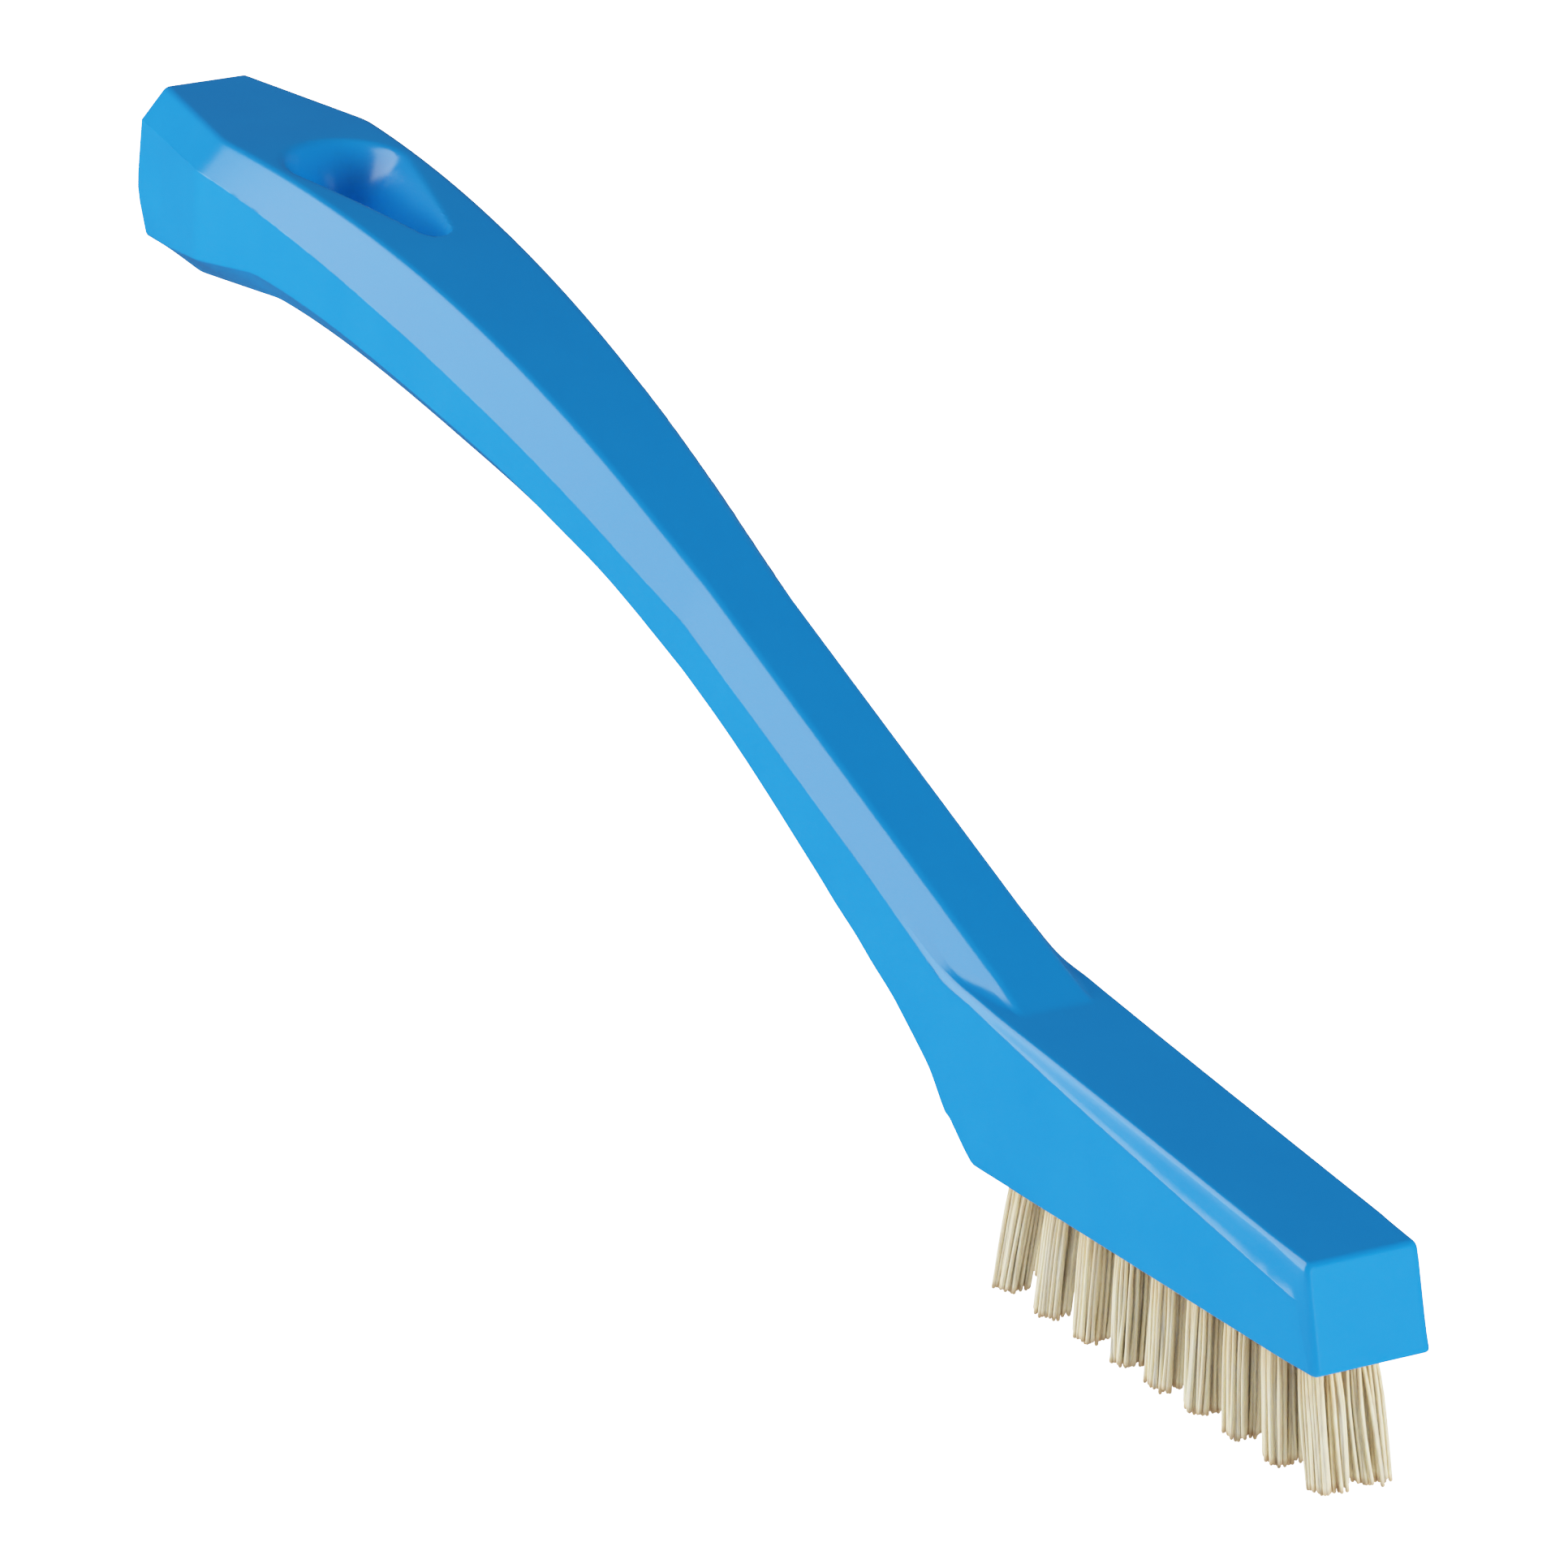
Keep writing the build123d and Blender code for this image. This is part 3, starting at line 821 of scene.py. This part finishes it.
def new_piece(name, points, faces):
    """A mesh object from points in millimetres above the head's face."""
    mesh = bpy.data.meshes.new(name)
    mesh.from_pydata(to_metres(points).tolist(), [], faces)
    mesh.validate()
    mesh.update()
    piece = bpy.data.objects.new(name, mesh)
    bpy.context.scene.collection.objects.link(piece)
    return piece


def band_faces(ring_count, size, rising):
    """Quads between closed rings; those of a rising solid face the other way."""
    faces = []
    for ring in range(ring_count - 1):
        base = ring * size
        for i in range(size):
            j = (i + 1) % size
            quad = (base + i, base + size + i, base + size + j, base + j)
            faces.append((quad[0], *quad[:0:-1]) if rising else quad)
    return faces


def bar_faces(ring_count, size, rising):
    """Quads between closed rings, and a flat face on each end."""
    first = tuple(range(size))
    last = tuple(range((ring_count - 1) * size, ring_count * size))
    ends = [first[::-1], last] if rising else [first, last[::-1]]
    return band_faces(ring_count, size, rising) + ends


def skin_faces(ring_count, size):
    """Quads between closed rings, and a fan on each end round the two last points."""
    faces = band_faces(ring_count, size, False)
    first, last = ring_count * size, ring_count * size + 1
    top = (ring_count - 1) * size
    for i in range(size):
        j = (i + 1) % size
        faces.append((first, i, j))
        faces.append((last, top + j, top + i))
    return faces


def add_solid(points, faces, more_points, more_faces):
    """Add one more solid to the points and faces of a piece."""
    faces += [tuple(len(points) + i for i in face) for face in more_faces]
    points += more_points


def lathe_cutter(centre_x, centre_y, outline, sides):
    """Points and faces of an upright turned cutter, from heights and radii going up."""
    points = []
    for height, radius in outline:
        for i in range(sides):
            turn = 2 * math.pi * (i + 0.5) / sides
            points.append((centre_x + radius * math.cos(turn), centre_y + radius * math.sin(turn), height))
    return points, bar_faces(len(outline), sides, True)


def teardrop_outline(round_radius, point_radius, count):
    """Places along and across the hang hole, once round its outline."""
    sine = (round_radius - point_radius) / HOLE_LENGTH
    turn = math.acos(sine)
    outline = []
    for i in range(count + 1):
        angle = turn + (2 * math.pi - 2 * turn) * i / count
        outline.append((round_radius * math.cos(angle), round_radius * math.sin(angle)))
    for i in range(count // 2 + 1):
        angle = -turn + 2 * turn * i / (count // 2)
        outline.append((HOLE_LENGTH + point_radius * math.cos(angle), point_radius * math.sin(angle)))
    return outline


def make_throat_cutter():
    along, axis, origin = hole_axes()
    across = np.array([0.0, 1.0, 0.0])
    outline = teardrop_outline(*THROAT_RADII, THROAT_STEPS)
    points = []
    for height in THROAT_CUT:
        points += [origin + along * a + across * b + axis * height for a, b in outline]
    return new_piece("throat_cutter", points, bar_faces(2, len(outline), True))


def tuft_places():
    """Root place and lean of each tuft, as x, y, degrees and a name."""
    places = []
    middle = (TUFTS_IN_ROW - 1) / 2
    for number in range(TUFTS_IN_ROW):
        x = NOSE_X - TUFT_PITCH - TUFT_PITCH * (TUFTS_IN_ROW - 1 - number)
        share = (number - middle) / middle
        lean = MIDDLE_LEAN + EVEN_LEAN * share + END_LEAN * share ** 3
        places.append((x, ROW_OFFSET, lean, f"left_{number + 1}"))
        places.append((x, -ROW_OFFSET, lean, f"right_{number + 1}"))
    return places


def make_tuft_hole_cutter():
    mouth = TUFT_HOLE_RADIUS + MOUTH_BEVEL
    outline = (
        (-CUTTER_REACH, mouth),
        (-MOUTH_MARGIN, mouth),
        (MOUTH_BEVEL, TUFT_HOLE_RADIUS),
        (TUFT_HOLE_DEPTH, TUFT_HOLE_RADIUS),
    )
    points, faces = [], []
    for place in tuft_places():
        add_solid(points, faces, *lathe_cutter(*place[:2], outline, TUFT_HOLE_SIDES))
    return new_piece("tuft_hole_cutter", points, faces)


def cut(piece, cutters):
    """Take the cutters out of a piece and remove them."""
    for cutter in cutters:
        modifier = piece.modifiers.new("cut", "BOOLEAN")
        modifier.operation = "DIFFERENCE"
        modifier.solver = "EXACT"
        modifier.object = cutter
    evaluated = piece.evaluated_get(bpy.context.evaluated_depsgraph_get())
    mesh = bpy.data.meshes.new_from_object(evaluated)
    piece.modifiers.clear()
    piece.data = mesh
    for cutter in cutters:
        bpy.data.objects.remove(cutter)


def shade(mesh, angle):
    """Shade smooth, with edges sharper than an angle left crisp."""
    mesh.polygons.foreach_set("use_smooth", [True] * len(mesh.polygons))
    limit = math.cos(angle)
    faces_of_edge = {}
    for polygon in mesh.polygons:
        for key in polygon.edge_keys:
            faces_of_edge.setdefault(key, []).append(polygon.index)
    normals = [polygon.normal.copy() for polygon in mesh.polygons]
    for edge in mesh.edges:
        faces = faces_of_edge.get(tuple(sorted(edge.vertices)), [])
        if len(faces) == 2 and normals[faces[0]].dot(normals[faces[1]]) < limit:
            edge.use_edge_sharp = True
    mesh.update()


# Filaments and tufts


def tip_rows(end, inward, direction, radius):
    """Rings over a rounded tip as centre, direction and radius, from the full bar outwards."""
    rows = [(end + inward * radius, direction, radius)]
    for share, forward in TIP_ROUNDING:
        rows.append((end + inward * radius * (1 - forward), direction, radius * share))
    return rows


def tube(path, radius, sides):
    """Points and faces of a round bar along a path, with both its tips rounded."""
    path = np.asarray(path, float)
    directions = np.gradient(path, axis=0)
    directions /= np.linalg.norm(directions, axis=1)[:, None]
    rows = tip_rows(path[0], directions[0], directions[0], radius)[::-1]
    rows += [(path[i], directions[i], radius) for i in range(1, len(path) - 1)]
    rows += tip_rows(path[-1], -directions[-1], directions[-1], radius)
    points = []
    for centre, direction, row_radius in rows:
        other = (0.0, 0.0, 1.0) if abs(direction[2]) < NEARLY_UPRIGHT else (1.0, 0.0, 0.0)
        side = np.cross(direction, other)
        side /= np.linalg.norm(side)
        up = np.cross(side, direction)
        for i in range(sides):
            turn = 2 * math.pi * i / sides
            points.append(centre + row_radius * (math.cos(turn) * side + math.sin(turn) * up))
    return points, bar_faces(len(rows), sides, False)


def root_layout(filament):
    """Places of the folded filaments on one side of the anchor, packed in rows."""
    reach = TUFT_HOLE_RADIUS - FILAMENT_GAP - filament / 2
    pitch = filament * FILAMENT_PITCH
    places = []
    row = 0
    y = ANCHOR_HALF_THICKNESS + FILAMENT_GAP + filament / 2
    while y < reach:
        half = math.sqrt(reach ** 2 - y ** 2)
        shift = pitch / 2 if row % 2 else 0.0
        count = int((half - shift) / pitch)
        xs = [shift + pitch * i for i in range(count + 1)]
        xs = sorted(set([round(x, 4) for x in xs] + [round(-x, 4) for x in xs]))
        places += [(x, y) for x in xs if abs(x) <= half]
        y += pitch * ROW_SPACING
        row += 1
    return places


def filament_leg(root, lean, spread, reach, chance):
    """Points of one leg of a filament from the head's face to its tip."""
    drift = STRAY_DRIFT if chance.random() < STRAY_SHARE else USUAL_DRIFT
    drift_x = BRISTLE_LENGTH * math.tan(math.radians(lean)) + chance.gauss(0, drift)
    drift_y = BRISTLE_LENGTH * OUTWARD_SLOPE + chance.gauss(0, drift)
    bow_x = chance.gauss(0, BOW)
    bow_y = chance.gauss(0, BOW)
    points = []
    for step in range(LEG_STEPS + 1):
        share = step / LEG_STEPS
        bow = math.sin(math.pi * share)
        fan = 1 + (spread - 1) * min(FAN_RATE * share, 1)
        x = root[0] * fan + drift_x * share + bow_x * bow
        y = root[1] * fan + drift_y * share + bow_y * bow
        points.append((x, y, -reach * share))
    return points


def root_arch(root_x, root_y):
    """Fold of a filament over the anchor."""
    rise = ARCH_RISE + ARCH_GROWTH * root_y / TUFT_HOLE_RADIUS
    turns = [math.pi * i / ARCH_STEPS for i in range(1, ARCH_STEPS)]
    return [(root_x, root_y * math.cos(turn), ROOT_HEIGHTS[-1] + rise * math.sin(turn)) for turn in turns]


def filament_path(root_x, root_y, lean, spread, chance):
    """A filament from one tip up its leg, over the anchor and down the other leg."""
    path = []
    for side in (1.0, -1.0):
        root = (root_x, root_y * side)
        distance = math.hypot(*root) / TUFT_HOLE_RADIUS
        shortness = TIP_DOME * distance ** 3
        reach = BRISTLE_LENGTH - FILAMENT_GAP - shortness - chance.random() * TIP_UNEVENNESS
        leg = filament_leg(root, lean, spread, reach, chance)
        straight = [(*root, height) for height in ROOT_HEIGHTS]
        if side > 0:
            path += leg[::-1] + straight
        else:
            path += root_arch(root_x, root_y) + straight[::-1] + leg
    return path


def make_tuft(x, y, lean, name, filament, spread, seed):
    """One tuft: filaments folded over the anchor in their hole, two legs to each."""
    chance = random.Random(seed)
    outward = 1.0 if y > 0 else -1.0
    points, faces = [], []
    for root_x, root_y in root_layout(filament):
        path = filament_path(root_x, root_y, lean, spread, chance)
        path = [(x + along, y + outward * across, height) for along, across, height in path]
        add_solid(points, faces, *tube(path, filament / 2, FILAMENT_SIDES))
    piece = new_piece(f"bristles_{name}", points, faces)
    piece.data.polygons.foreach_set("use_smooth", [True] * len(piece.data.polygons))
    return piece


# Materials


# Tints of the lighter flow marks, the painted shade that makes the roots darker and warmer where the head
# shades them, and the darker patches of the floor
FLOW_TINT = (1.4, 1.1, 1.06)
ROOT_PAINTED_SHADE = (0.93, 0.80, 0.60)
FLOOR_TINT = (0.985, 0.985, 0.985)

# Where a bristle's colours change, as shares of its length from its tip
TIP_END = 0.055
MIDDLE_START = 0.10
MIDDLE_END = 0.55

# Broad and fine scale of each grain, and strength and depth in metres of each bump
PLASTIC_GRAIN = (130.0, 5200.0)
PLASTIC_BUMP = (0.25, 0.00002)
STEEL_GRAIN = (900.0, 9000.0)
STEEL_BUMP = (0.3, 0.00001)
FLOOR_GRAIN = (4.0, 300.0)

# Least and greatest roughness over the grain: as changes to the plastic's own, and of the steel
ROUGHNESS_CHANGES = (-0.03, 0.05)
STEEL_ROUGHNESS = (0.25, 0.45)


def new_material(name):
    material = bpy.data.materials.new(name)
    material.use_nodes = True
    nodes = material.node_tree.nodes
    shader = nodes.get("Principled BSDF")
    return material, nodes, material.node_tree.links, shader


def fine_grain_group():
    """Shared effect: two sizes of faint unevenness, as a mask and as a height."""
    group = bpy.data.node_groups.get("fine_grain")
    if group:
        return group
    group = bpy.data.node_groups.new("fine_grain", "ShaderNodeTree")
    effects = (("Broad scale", "Mask", 3.0), ("Fine scale", "Height", 2.0))
    for scale, effect, detail in effects:
        group.interface.new_socket(scale, in_out="INPUT", socket_type="NodeSocketFloat")
        group.interface.new_socket(effect, in_out="OUTPUT", socket_type="NodeSocketFloat")
    nodes, links = group.nodes, group.links
    entry = nodes.new("NodeGroupInput")
    leave = nodes.new("NodeGroupOutput")
    coordinates = nodes.new("ShaderNodeTexCoord")
    for scale, effect, detail in effects:
        noise = nodes.new("ShaderNodeTexNoise")
        noise.inputs["Detail"].default_value = detail
        links.new(coordinates.outputs["Object"], noise.inputs["Vector"])
        links.new(entry.outputs[scale], noise.inputs["Scale"])
        links.new(noise.outputs["Fac"], leave.inputs[effect])
    return group


def add_grain(nodes, scales):
    """Place the shared grain in a material, with the material's own scales."""
    grain = nodes.new("ShaderNodeGroup")
    grain.node_tree = fine_grain_group()
    grain.inputs["Broad scale"].default_value, grain.inputs["Fine scale"].default_value = scales
    return grain


def add_finish(nodes, links, shader, grain, roughness, bump_values):
    """Roughness that varies with the grain's mask, and a fine bump from its height."""
    rough = nodes.new("ShaderNodeMapRange")
    rough.inputs["To Min"].default_value, rough.inputs["To Max"].default_value = roughness
    links.new(grain.outputs["Mask"], rough.inputs["Value"])
    links.new(rough.outputs["Result"], shader.inputs["Roughness"])
    bump = nodes.new("ShaderNodeBump")
    bump.inputs["Strength"].default_value, bump.inputs["Distance"].default_value = bump_values
    links.new(grain.outputs["Height"], bump.inputs["Height"])
    links.new(bump.outputs["Normal"], shader.inputs["Normal"])


def tinted(colour, tint):
    """A colour times a tint, as the four values of a colour socket."""
    return (*[min(part * factor, 1.0) for part, factor in zip(colour, tint)], 1.0)


def make_plastic(sizes):
    """Glossy moulded plastic with faint flow marks and a fine grain."""
    material, nodes, links, shader = new_material("blue_plastic")
    grain = add_grain(nodes, PLASTIC_GRAIN)
    colour = nodes.new("ShaderNodeMix")
    colour.data_type = "RGBA"
    colour.inputs["A"].default_value = (*sizes.colour, 1.0)
    colour.inputs["B"].default_value = tinted(sizes.colour, FLOW_TINT)
    links.new(grain.outputs["Mask"], colour.inputs["Factor"])
    links.new(colour.outputs["Result"], shader.inputs["Base Color"])
    roughness = [sizes.roughness + change for change in ROUGHNESS_CHANGES]
    add_finish(nodes, links, shader, grain, roughness, PLASTIC_BUMP)
    return material


def make_bristle_material(sizes):
    """Pale translucent filament, darker and warmer at the root with painted shade from the head, and
    darker at the rounded tip.
    """
    material, nodes, links, shader = new_material("bristle")
    coordinates = nodes.new("ShaderNodeTexCoord")
    split = nodes.new("ShaderNodeSeparateXYZ")
    links.new(coordinates.outputs["Object"], split.inputs["Vector"])
    ramp = nodes.new("ShaderNodeValToRGB")
    level = nodes.new("ShaderNodeMapRange")
    level.inputs["From Min"].default_value = 0.0
    level.inputs["From Max"].default_value = BRISTLE_LENGTH * MM
    links.new(split.outputs["Z"], level.inputs["Value"])
    links.new(level.outputs["Result"], ramp.inputs["Fac"])
    elements = ramp.color_ramp.elements
    elements[0].position = 0.0
    elements[0].color = (*sizes.tip_colour, 1.0)
    elements[1].position = 1.0
    # Root end of each bristle: painted shade, darker and warmer where the head shades the roots
    elements[1].color = tinted(sizes.colour, ROOT_PAINTED_SHADE)
    stops = ((TIP_END, sizes.tip_colour), (MIDDLE_START, sizes.colour), (MIDDLE_END, sizes.colour))
    for position, colour in stops:
        element = elements.new(position)
        element.color = (*colour, 1.0)
    stretch = nodes.new("ShaderNodeMapping")
    stretch.inputs["Scale"].default_value = (2600.0, 2600.0, 60.0)
    links.new(coordinates.outputs["Object"], stretch.inputs["Vector"])
    streak = nodes.new("ShaderNodeTexNoise")
    streak.inputs["Scale"].default_value = 1.0
    streak.inputs["Detail"].default_value = 1.0
    links.new(stretch.outputs["Vector"], streak.inputs["Vector"])
    shift = nodes.new("ShaderNodeMapRange")
    shift.inputs["From Min"].default_value = 0.25
    shift.inputs["From Max"].default_value = 0.75
    shift.inputs["To Min"].default_value = 0.84
    shift.inputs["To Max"].default_value = 1.12
    links.new(streak.outputs["Fac"], shift.inputs["Value"])
    tint = nodes.new("ShaderNodeVectorMath")
    tint.operation = "SCALE"
    links.new(ramp.outputs["Color"], tint.inputs["Vector"])
    links.new(shift.outputs["Result"], tint.inputs["Scale"])
    links.new(tint.outputs["Vector"], shader.inputs["Base Color"])
    shader.inputs["Roughness"].default_value = 0.32
    shader.inputs["Subsurface Weight"].default_value = 0.5
    shader.inputs["Subsurface Radius"].default_value = (1.0, 0.85, 0.6)
    shader.inputs["Subsurface Scale"].default_value = 0.00025
    return material


def make_steel():
    """Brushed steel of the anchors."""
    material, nodes, links, shader = new_material("anchor_steel")
    add_finish(nodes, links, shader, add_grain(nodes, STEEL_GRAIN), STEEL_ROUGHNESS, STEEL_BUMP)
    shader.inputs["Base Color"].default_value = (0.58, 0.56, 0.53, 1.0)
    shader.inputs["Metallic"].default_value = 1.0
    return material


def make_floor_material(colour, glow, bounce):
    material, nodes, links, shader = new_material("floor_board")
    grain = add_grain(nodes, FLOOR_GRAIN)
    tone = nodes.new("ShaderNodeMix")
    tone.data_type = "RGBA"
    tone.inputs["A"].default_value = tinted(colour, FLOOR_TINT)
    tone.inputs["B"].default_value = (*colour, 1.0)
    links.new(grain.outputs["Mask"], tone.inputs["Factor"])
    links.new(tone.outputs["Result"], shader.inputs["Base Color"])
    shader.inputs["Roughness"].default_value = 0.9
    shader.inputs["Specular IOR Level"].default_value = 0.1
    path = nodes.new("ShaderNodeLightPath")
    sent = nodes.new("ShaderNodeMath")
    sent.operation = "MULTIPLY"
    sent.inputs[1].default_value = bounce
    links.new(path.outputs["Is Diffuse Ray"], sent.inputs[0])
    seen = nodes.new("ShaderNodeMath")
    seen.operation = "MULTIPLY_ADD"
    seen.inputs[1].default_value = glow
    links.new(path.outputs["Is Camera Ray"], seen.inputs[0])
    links.new(sent.outputs["Value"], seen.inputs[2])
    links.new(seen.outputs["Value"], shader.inputs["Emission Strength"])
    shader.inputs["Emission Color"].default_value = (1.0, 1.0, 1.0, 1.0)
    return material


# Operators


class BRUSH_OT_handle(bpy.types.Operator):
    """Build the moulded handle with its hang hole and tuft holes"""

    bl_idname = "brush.make_handle"
    bl_label = "Handle"

    def execute(self, context):
        sizes = context.scene.brush_handle
        halves = make_rings(sizes)
        points = []
        for ring in halves:
            press_mouths(ring)
            near = ring * (1.0, -1.0, 1.0)
            points += near.tolist() + ring[-2:0:-1].tolist()
        size = 2 * len(halves[0]) - 2
        first = np.mean([halves[0][0], halves[0][-1]], axis=0)
        last = np.mean([halves[-1][0], halves[-1][-1]], axis=0)
        points += [first.tolist(), last.tolist()]
        handle = new_piece("moulded_handle", points, skin_faces(len(halves), size))
        cut(handle, [make_throat_cutter(), make_tuft_hole_cutter()])
        shade(handle.data, CRISP_ANGLE)
        handle.data.materials.clear()
        handle.data.materials.append(make_plastic(sizes))
        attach(handle, BODY)
        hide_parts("handle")
        return {"FINISHED"}


class BRUSH_OT_tufts(bpy.types.Operator):
    """Build the tufts of both rows, filament by filament"""

    bl_idname = "brush.make_tufts"
    bl_label = "Tufts"

    def execute(self, context):
        sizes = context.scene.brush_tufts
        material = make_bristle_material(sizes)
        for seed, (x, y, lean, name) in enumerate(tuft_places(), FIRST_SEED):
            at_nose = x > NOSE_X - NOSE_TUFT_REACH
            spread = sizes.spread + NOSE_TUFT_SPREAD * at_nose
            tuft = make_tuft(x, y, lean, name, sizes.filament / MM, spread, seed)
            tuft.data.materials.append(material)
            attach(tuft, BODY)
            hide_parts(f"tuft_{name}")
        return {"FINISHED"}


class BRUSH_OT_anchors(bpy.types.Operator):
    """Give the anchors across the tufts' roots their brushed steel"""

    bl_idname = "brush.finish_anchors"
    bl_label = "Anchors"

    def execute(self, context):
        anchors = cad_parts["anchor_staples"]
        anchors.data.materials.clear()
        anchors.data.materials.append(make_steel())
        return {"FINISHED"}


# Camera fitted to the photograph: what it looks at and from how far in millimetres, its angles in
# degrees and its focus in pixels
CAMERA_TARGET = (-3.555, 6.729, 28.265)
CAMERA_DISTANCE = 1000.0
CAMERA_AZIMUTH = -32.826
CAMERA_ELEVATION = 20.613
CAMERA_ROLL = 2.0
CAMERA_FOCUS = 13431.0
CAMERA_RANGE = (0.05, 50.0)
SENSOR_WIDTH = 36.0
PHOTO_WIDTH = 1932

# Studio, in metres
FLOOR_HALF = 6.0
FLOOR_DROP = 0.0002
SKY_STRENGTH = 0.06
LIT_MIDDLE = (0.0, 0.0, 0.03)
SOFTBOX_DIRECTION = (-0.62, -0.70, 0.44)
SOFTBOX_DISTANCE = 1.1
SOFTBOX_SIZE = (0.86, 1.42)
SIDE_DIRECTION = (-0.38, -0.91, 0.12)
NOSE_DIRECTION = (0.95, 0.25, 0.12)
BACK_DIRECTION = (-0.30, 0.95, 0.05)
FILL_DISTANCE = 1.2
FILL_SIZE = (0.6, 0.6)


def add_softbox(name, direction, distance, size, power):
    """A rectangular soft light that faces the middle of the brush from a direction."""
    light = bpy.data.lights.new(name, "AREA")
    light.shape = "RECTANGLE"
    light.size, light.size_y = size
    light.energy = power
    lamp = bpy.data.objects.new(name, light)
    bpy.context.scene.collection.objects.link(lamp)
    away = Vector(direction).normalized()
    lamp.location = Vector(LIT_MIDDLE) + away * distance
    lamp.rotation_euler = away.to_track_quat("Z", "Y").to_euler()
    return lamp


TONE_WHITE = 4.0
TONE_KNEE = 0.2
KNEE_MARGIN = 1.01
TONE_LEVELS = (TONE_KNEE, 0.35, 0.5, 0.7, 0.95, 1.25, 1.6, 2.0, 2.5, 3.1)


def set_tones(view):
    """Straight tones up to the knee, then a soft shoulder that reaches white at TONE_WHITE."""
    view.view_transform = "Standard"
    view.use_curve_mapping = True
    curves = view.curve_mapping
    curves.white_level = (TONE_WHITE, TONE_WHITE, TONE_WHITE)
    tone = curves.curves[3]
    tone.points[0].location = (0.0, 0.0)
    tone.points[1].location = (1.0, 1.0)
    room = 1 - TONE_KNEE
    for level in TONE_LEVELS:
        shown = TONE_KNEE + room * (1 - math.exp((TONE_KNEE - level) / room))
        tone.points.new(level / TONE_WHITE, shown)
    straight_end = TONE_KNEE / TONE_WHITE * KNEE_MARGIN
    for point in tone.points:
        point.handle_type = "VECTOR" if point.location[0] < straight_end else "AUTO"
    curves.update()


def make_camera():
    """Camera at the photograph's viewing angle."""
    camera = bpy.data.objects.new("camera", bpy.data.cameras.new("camera"))
    bpy.context.scene.collection.objects.link(camera)
    camera.data.sensor_width = SENSOR_WIDTH
    camera.data.lens = CAMERA_FOCUS / PHOTO_WIDTH * SENSOR_WIDTH
    camera.data.clip_start, camera.data.clip_end = CAMERA_RANGE
    tilt = math.radians(90 - CAMERA_ELEVATION)
    heading = math.radians(90 + CAMERA_AZIMUTH)
    level = Euler((tilt, 0.0, heading)).to_matrix()
    turned = level @ Matrix.Rotation(math.radians(CAMERA_ROLL), 3, "Z")
    place = Vector(CAMERA_TARGET) + turned.col[2] * CAMERA_DISTANCE
    camera.matrix_world = Matrix.Translation(place * MM) @ turned.to_4x4()
    return camera


def make_floor(sizes):
    """Plain pale floor just below the tips of the bristles."""
    points = [(x * FLOOR_HALF, y * FLOOR_HALF, 0.0) for x, y in ((-1, -1), (1, -1), (1, 1), (-1, 1))]
    mesh = bpy.data.meshes.new("floor")
    mesh.from_pydata(points, [], [(0, 1, 2, 3)])
    mesh.materials.append(make_floor_material(sizes.floor_colour, sizes.floor_glow, sizes.floor_bounce))
    floor = bpy.data.objects.new("floor", mesh)
    floor.location.z = -FLOOR_DROP
    floor.visible_glossy = False
    bpy.context.scene.collection.objects.link(floor)
    return floor


def make_sky():
    """Weak even light from all round."""
    sky = bpy.data.worlds.new("studio")
    sky.use_nodes = True
    background = sky.node_tree.nodes["Background"]
    background.inputs["Color"].default_value = (1.0, 1.0, 1.0, 1.0)
    background.inputs["Strength"].default_value = SKY_STRENGTH
    return sky


class BRUSH_OT_stage(bpy.types.Operator):
    """Set out the floor, the lights and the camera"""

    bl_idname = "brush.make_stage"
    bl_label = "Studio"

    def execute(self, context):
        sizes = context.scene.brush_stage
        scene = context.scene
        set_tones(scene.view_settings)
        scene.camera = make_camera()
        floor = make_floor(sizes)
        scene.world = make_sky()
        add_softbox("softbox_left", SOFTBOX_DIRECTION, SOFTBOX_DISTANCE, SOFTBOX_SIZE, sizes.left_power)
        fills = (
            ("side_fill", SIDE_DIRECTION, sizes.side_power),
            ("nose_fill", NOSE_DIRECTION, sizes.nose_power),
            ("back_fill", BACK_DIRECTION, sizes.back_power),
        )
        for name, direction, power in fills:
            fill = add_softbox(name, direction, FILL_DISTANCE, FILL_SIZE, power)
            fill.visible_glossy = False
        return {"FINISHED"}


class BRUSH_PT_panel(bpy.types.Panel):
    """Sizes, colours and the steps that build the brush"""

    bl_label = "Crevice brush"
    bl_idname = "BRUSH_PT_panel"
    bl_space_type = "VIEW_3D"
    bl_region_type = "UI"
    bl_category = "Brush"

    def draw(self, context):
        for group_name in ("brush_handle", "brush_tufts", "brush_stage"):
            box = self.layout.box()
            group = getattr(context.scene, group_name)
            for name in type(group).__annotations__:
                box.prop(group, name)
        for operator in OPERATORS:
            self.layout.operator(operator.bl_idname)


GROUPS = (
    ("brush_handle", BrushHandleSizes),
    ("brush_tufts", BrushTuftSizes),
    ("brush_stage", BrushStageSizes),
)
OPERATORS = (BRUSH_OT_stage, BRUSH_OT_handle, BRUSH_OT_tufts, BRUSH_OT_anchors)


def register():
    for name, group in GROUPS:
        bpy.utils.register_class(group)
        setattr(bpy.types.Scene, name, bpy.props.PointerProperty(type=group))
    for operator in OPERATORS:
        bpy.utils.register_class(operator)
    bpy.utils.register_class(BRUSH_PT_panel)


def unregister():
    bpy.utils.unregister_class(BRUSH_PT_panel)
    for operator in reversed(OPERATORS):
        bpy.utils.unregister_class(operator)
    for name, group in reversed(GROUPS):
        delattr(bpy.types.Scene, name)
        bpy.utils.unregister_class(group)


def main():
    register()
    bpy.ops.brush.make_stage()
    bpy.ops.brush.make_handle()
    bpy.ops.brush.make_tufts()
    bpy.ops.brush.finish_anchors()


if __name__ == "__main__":
    main()
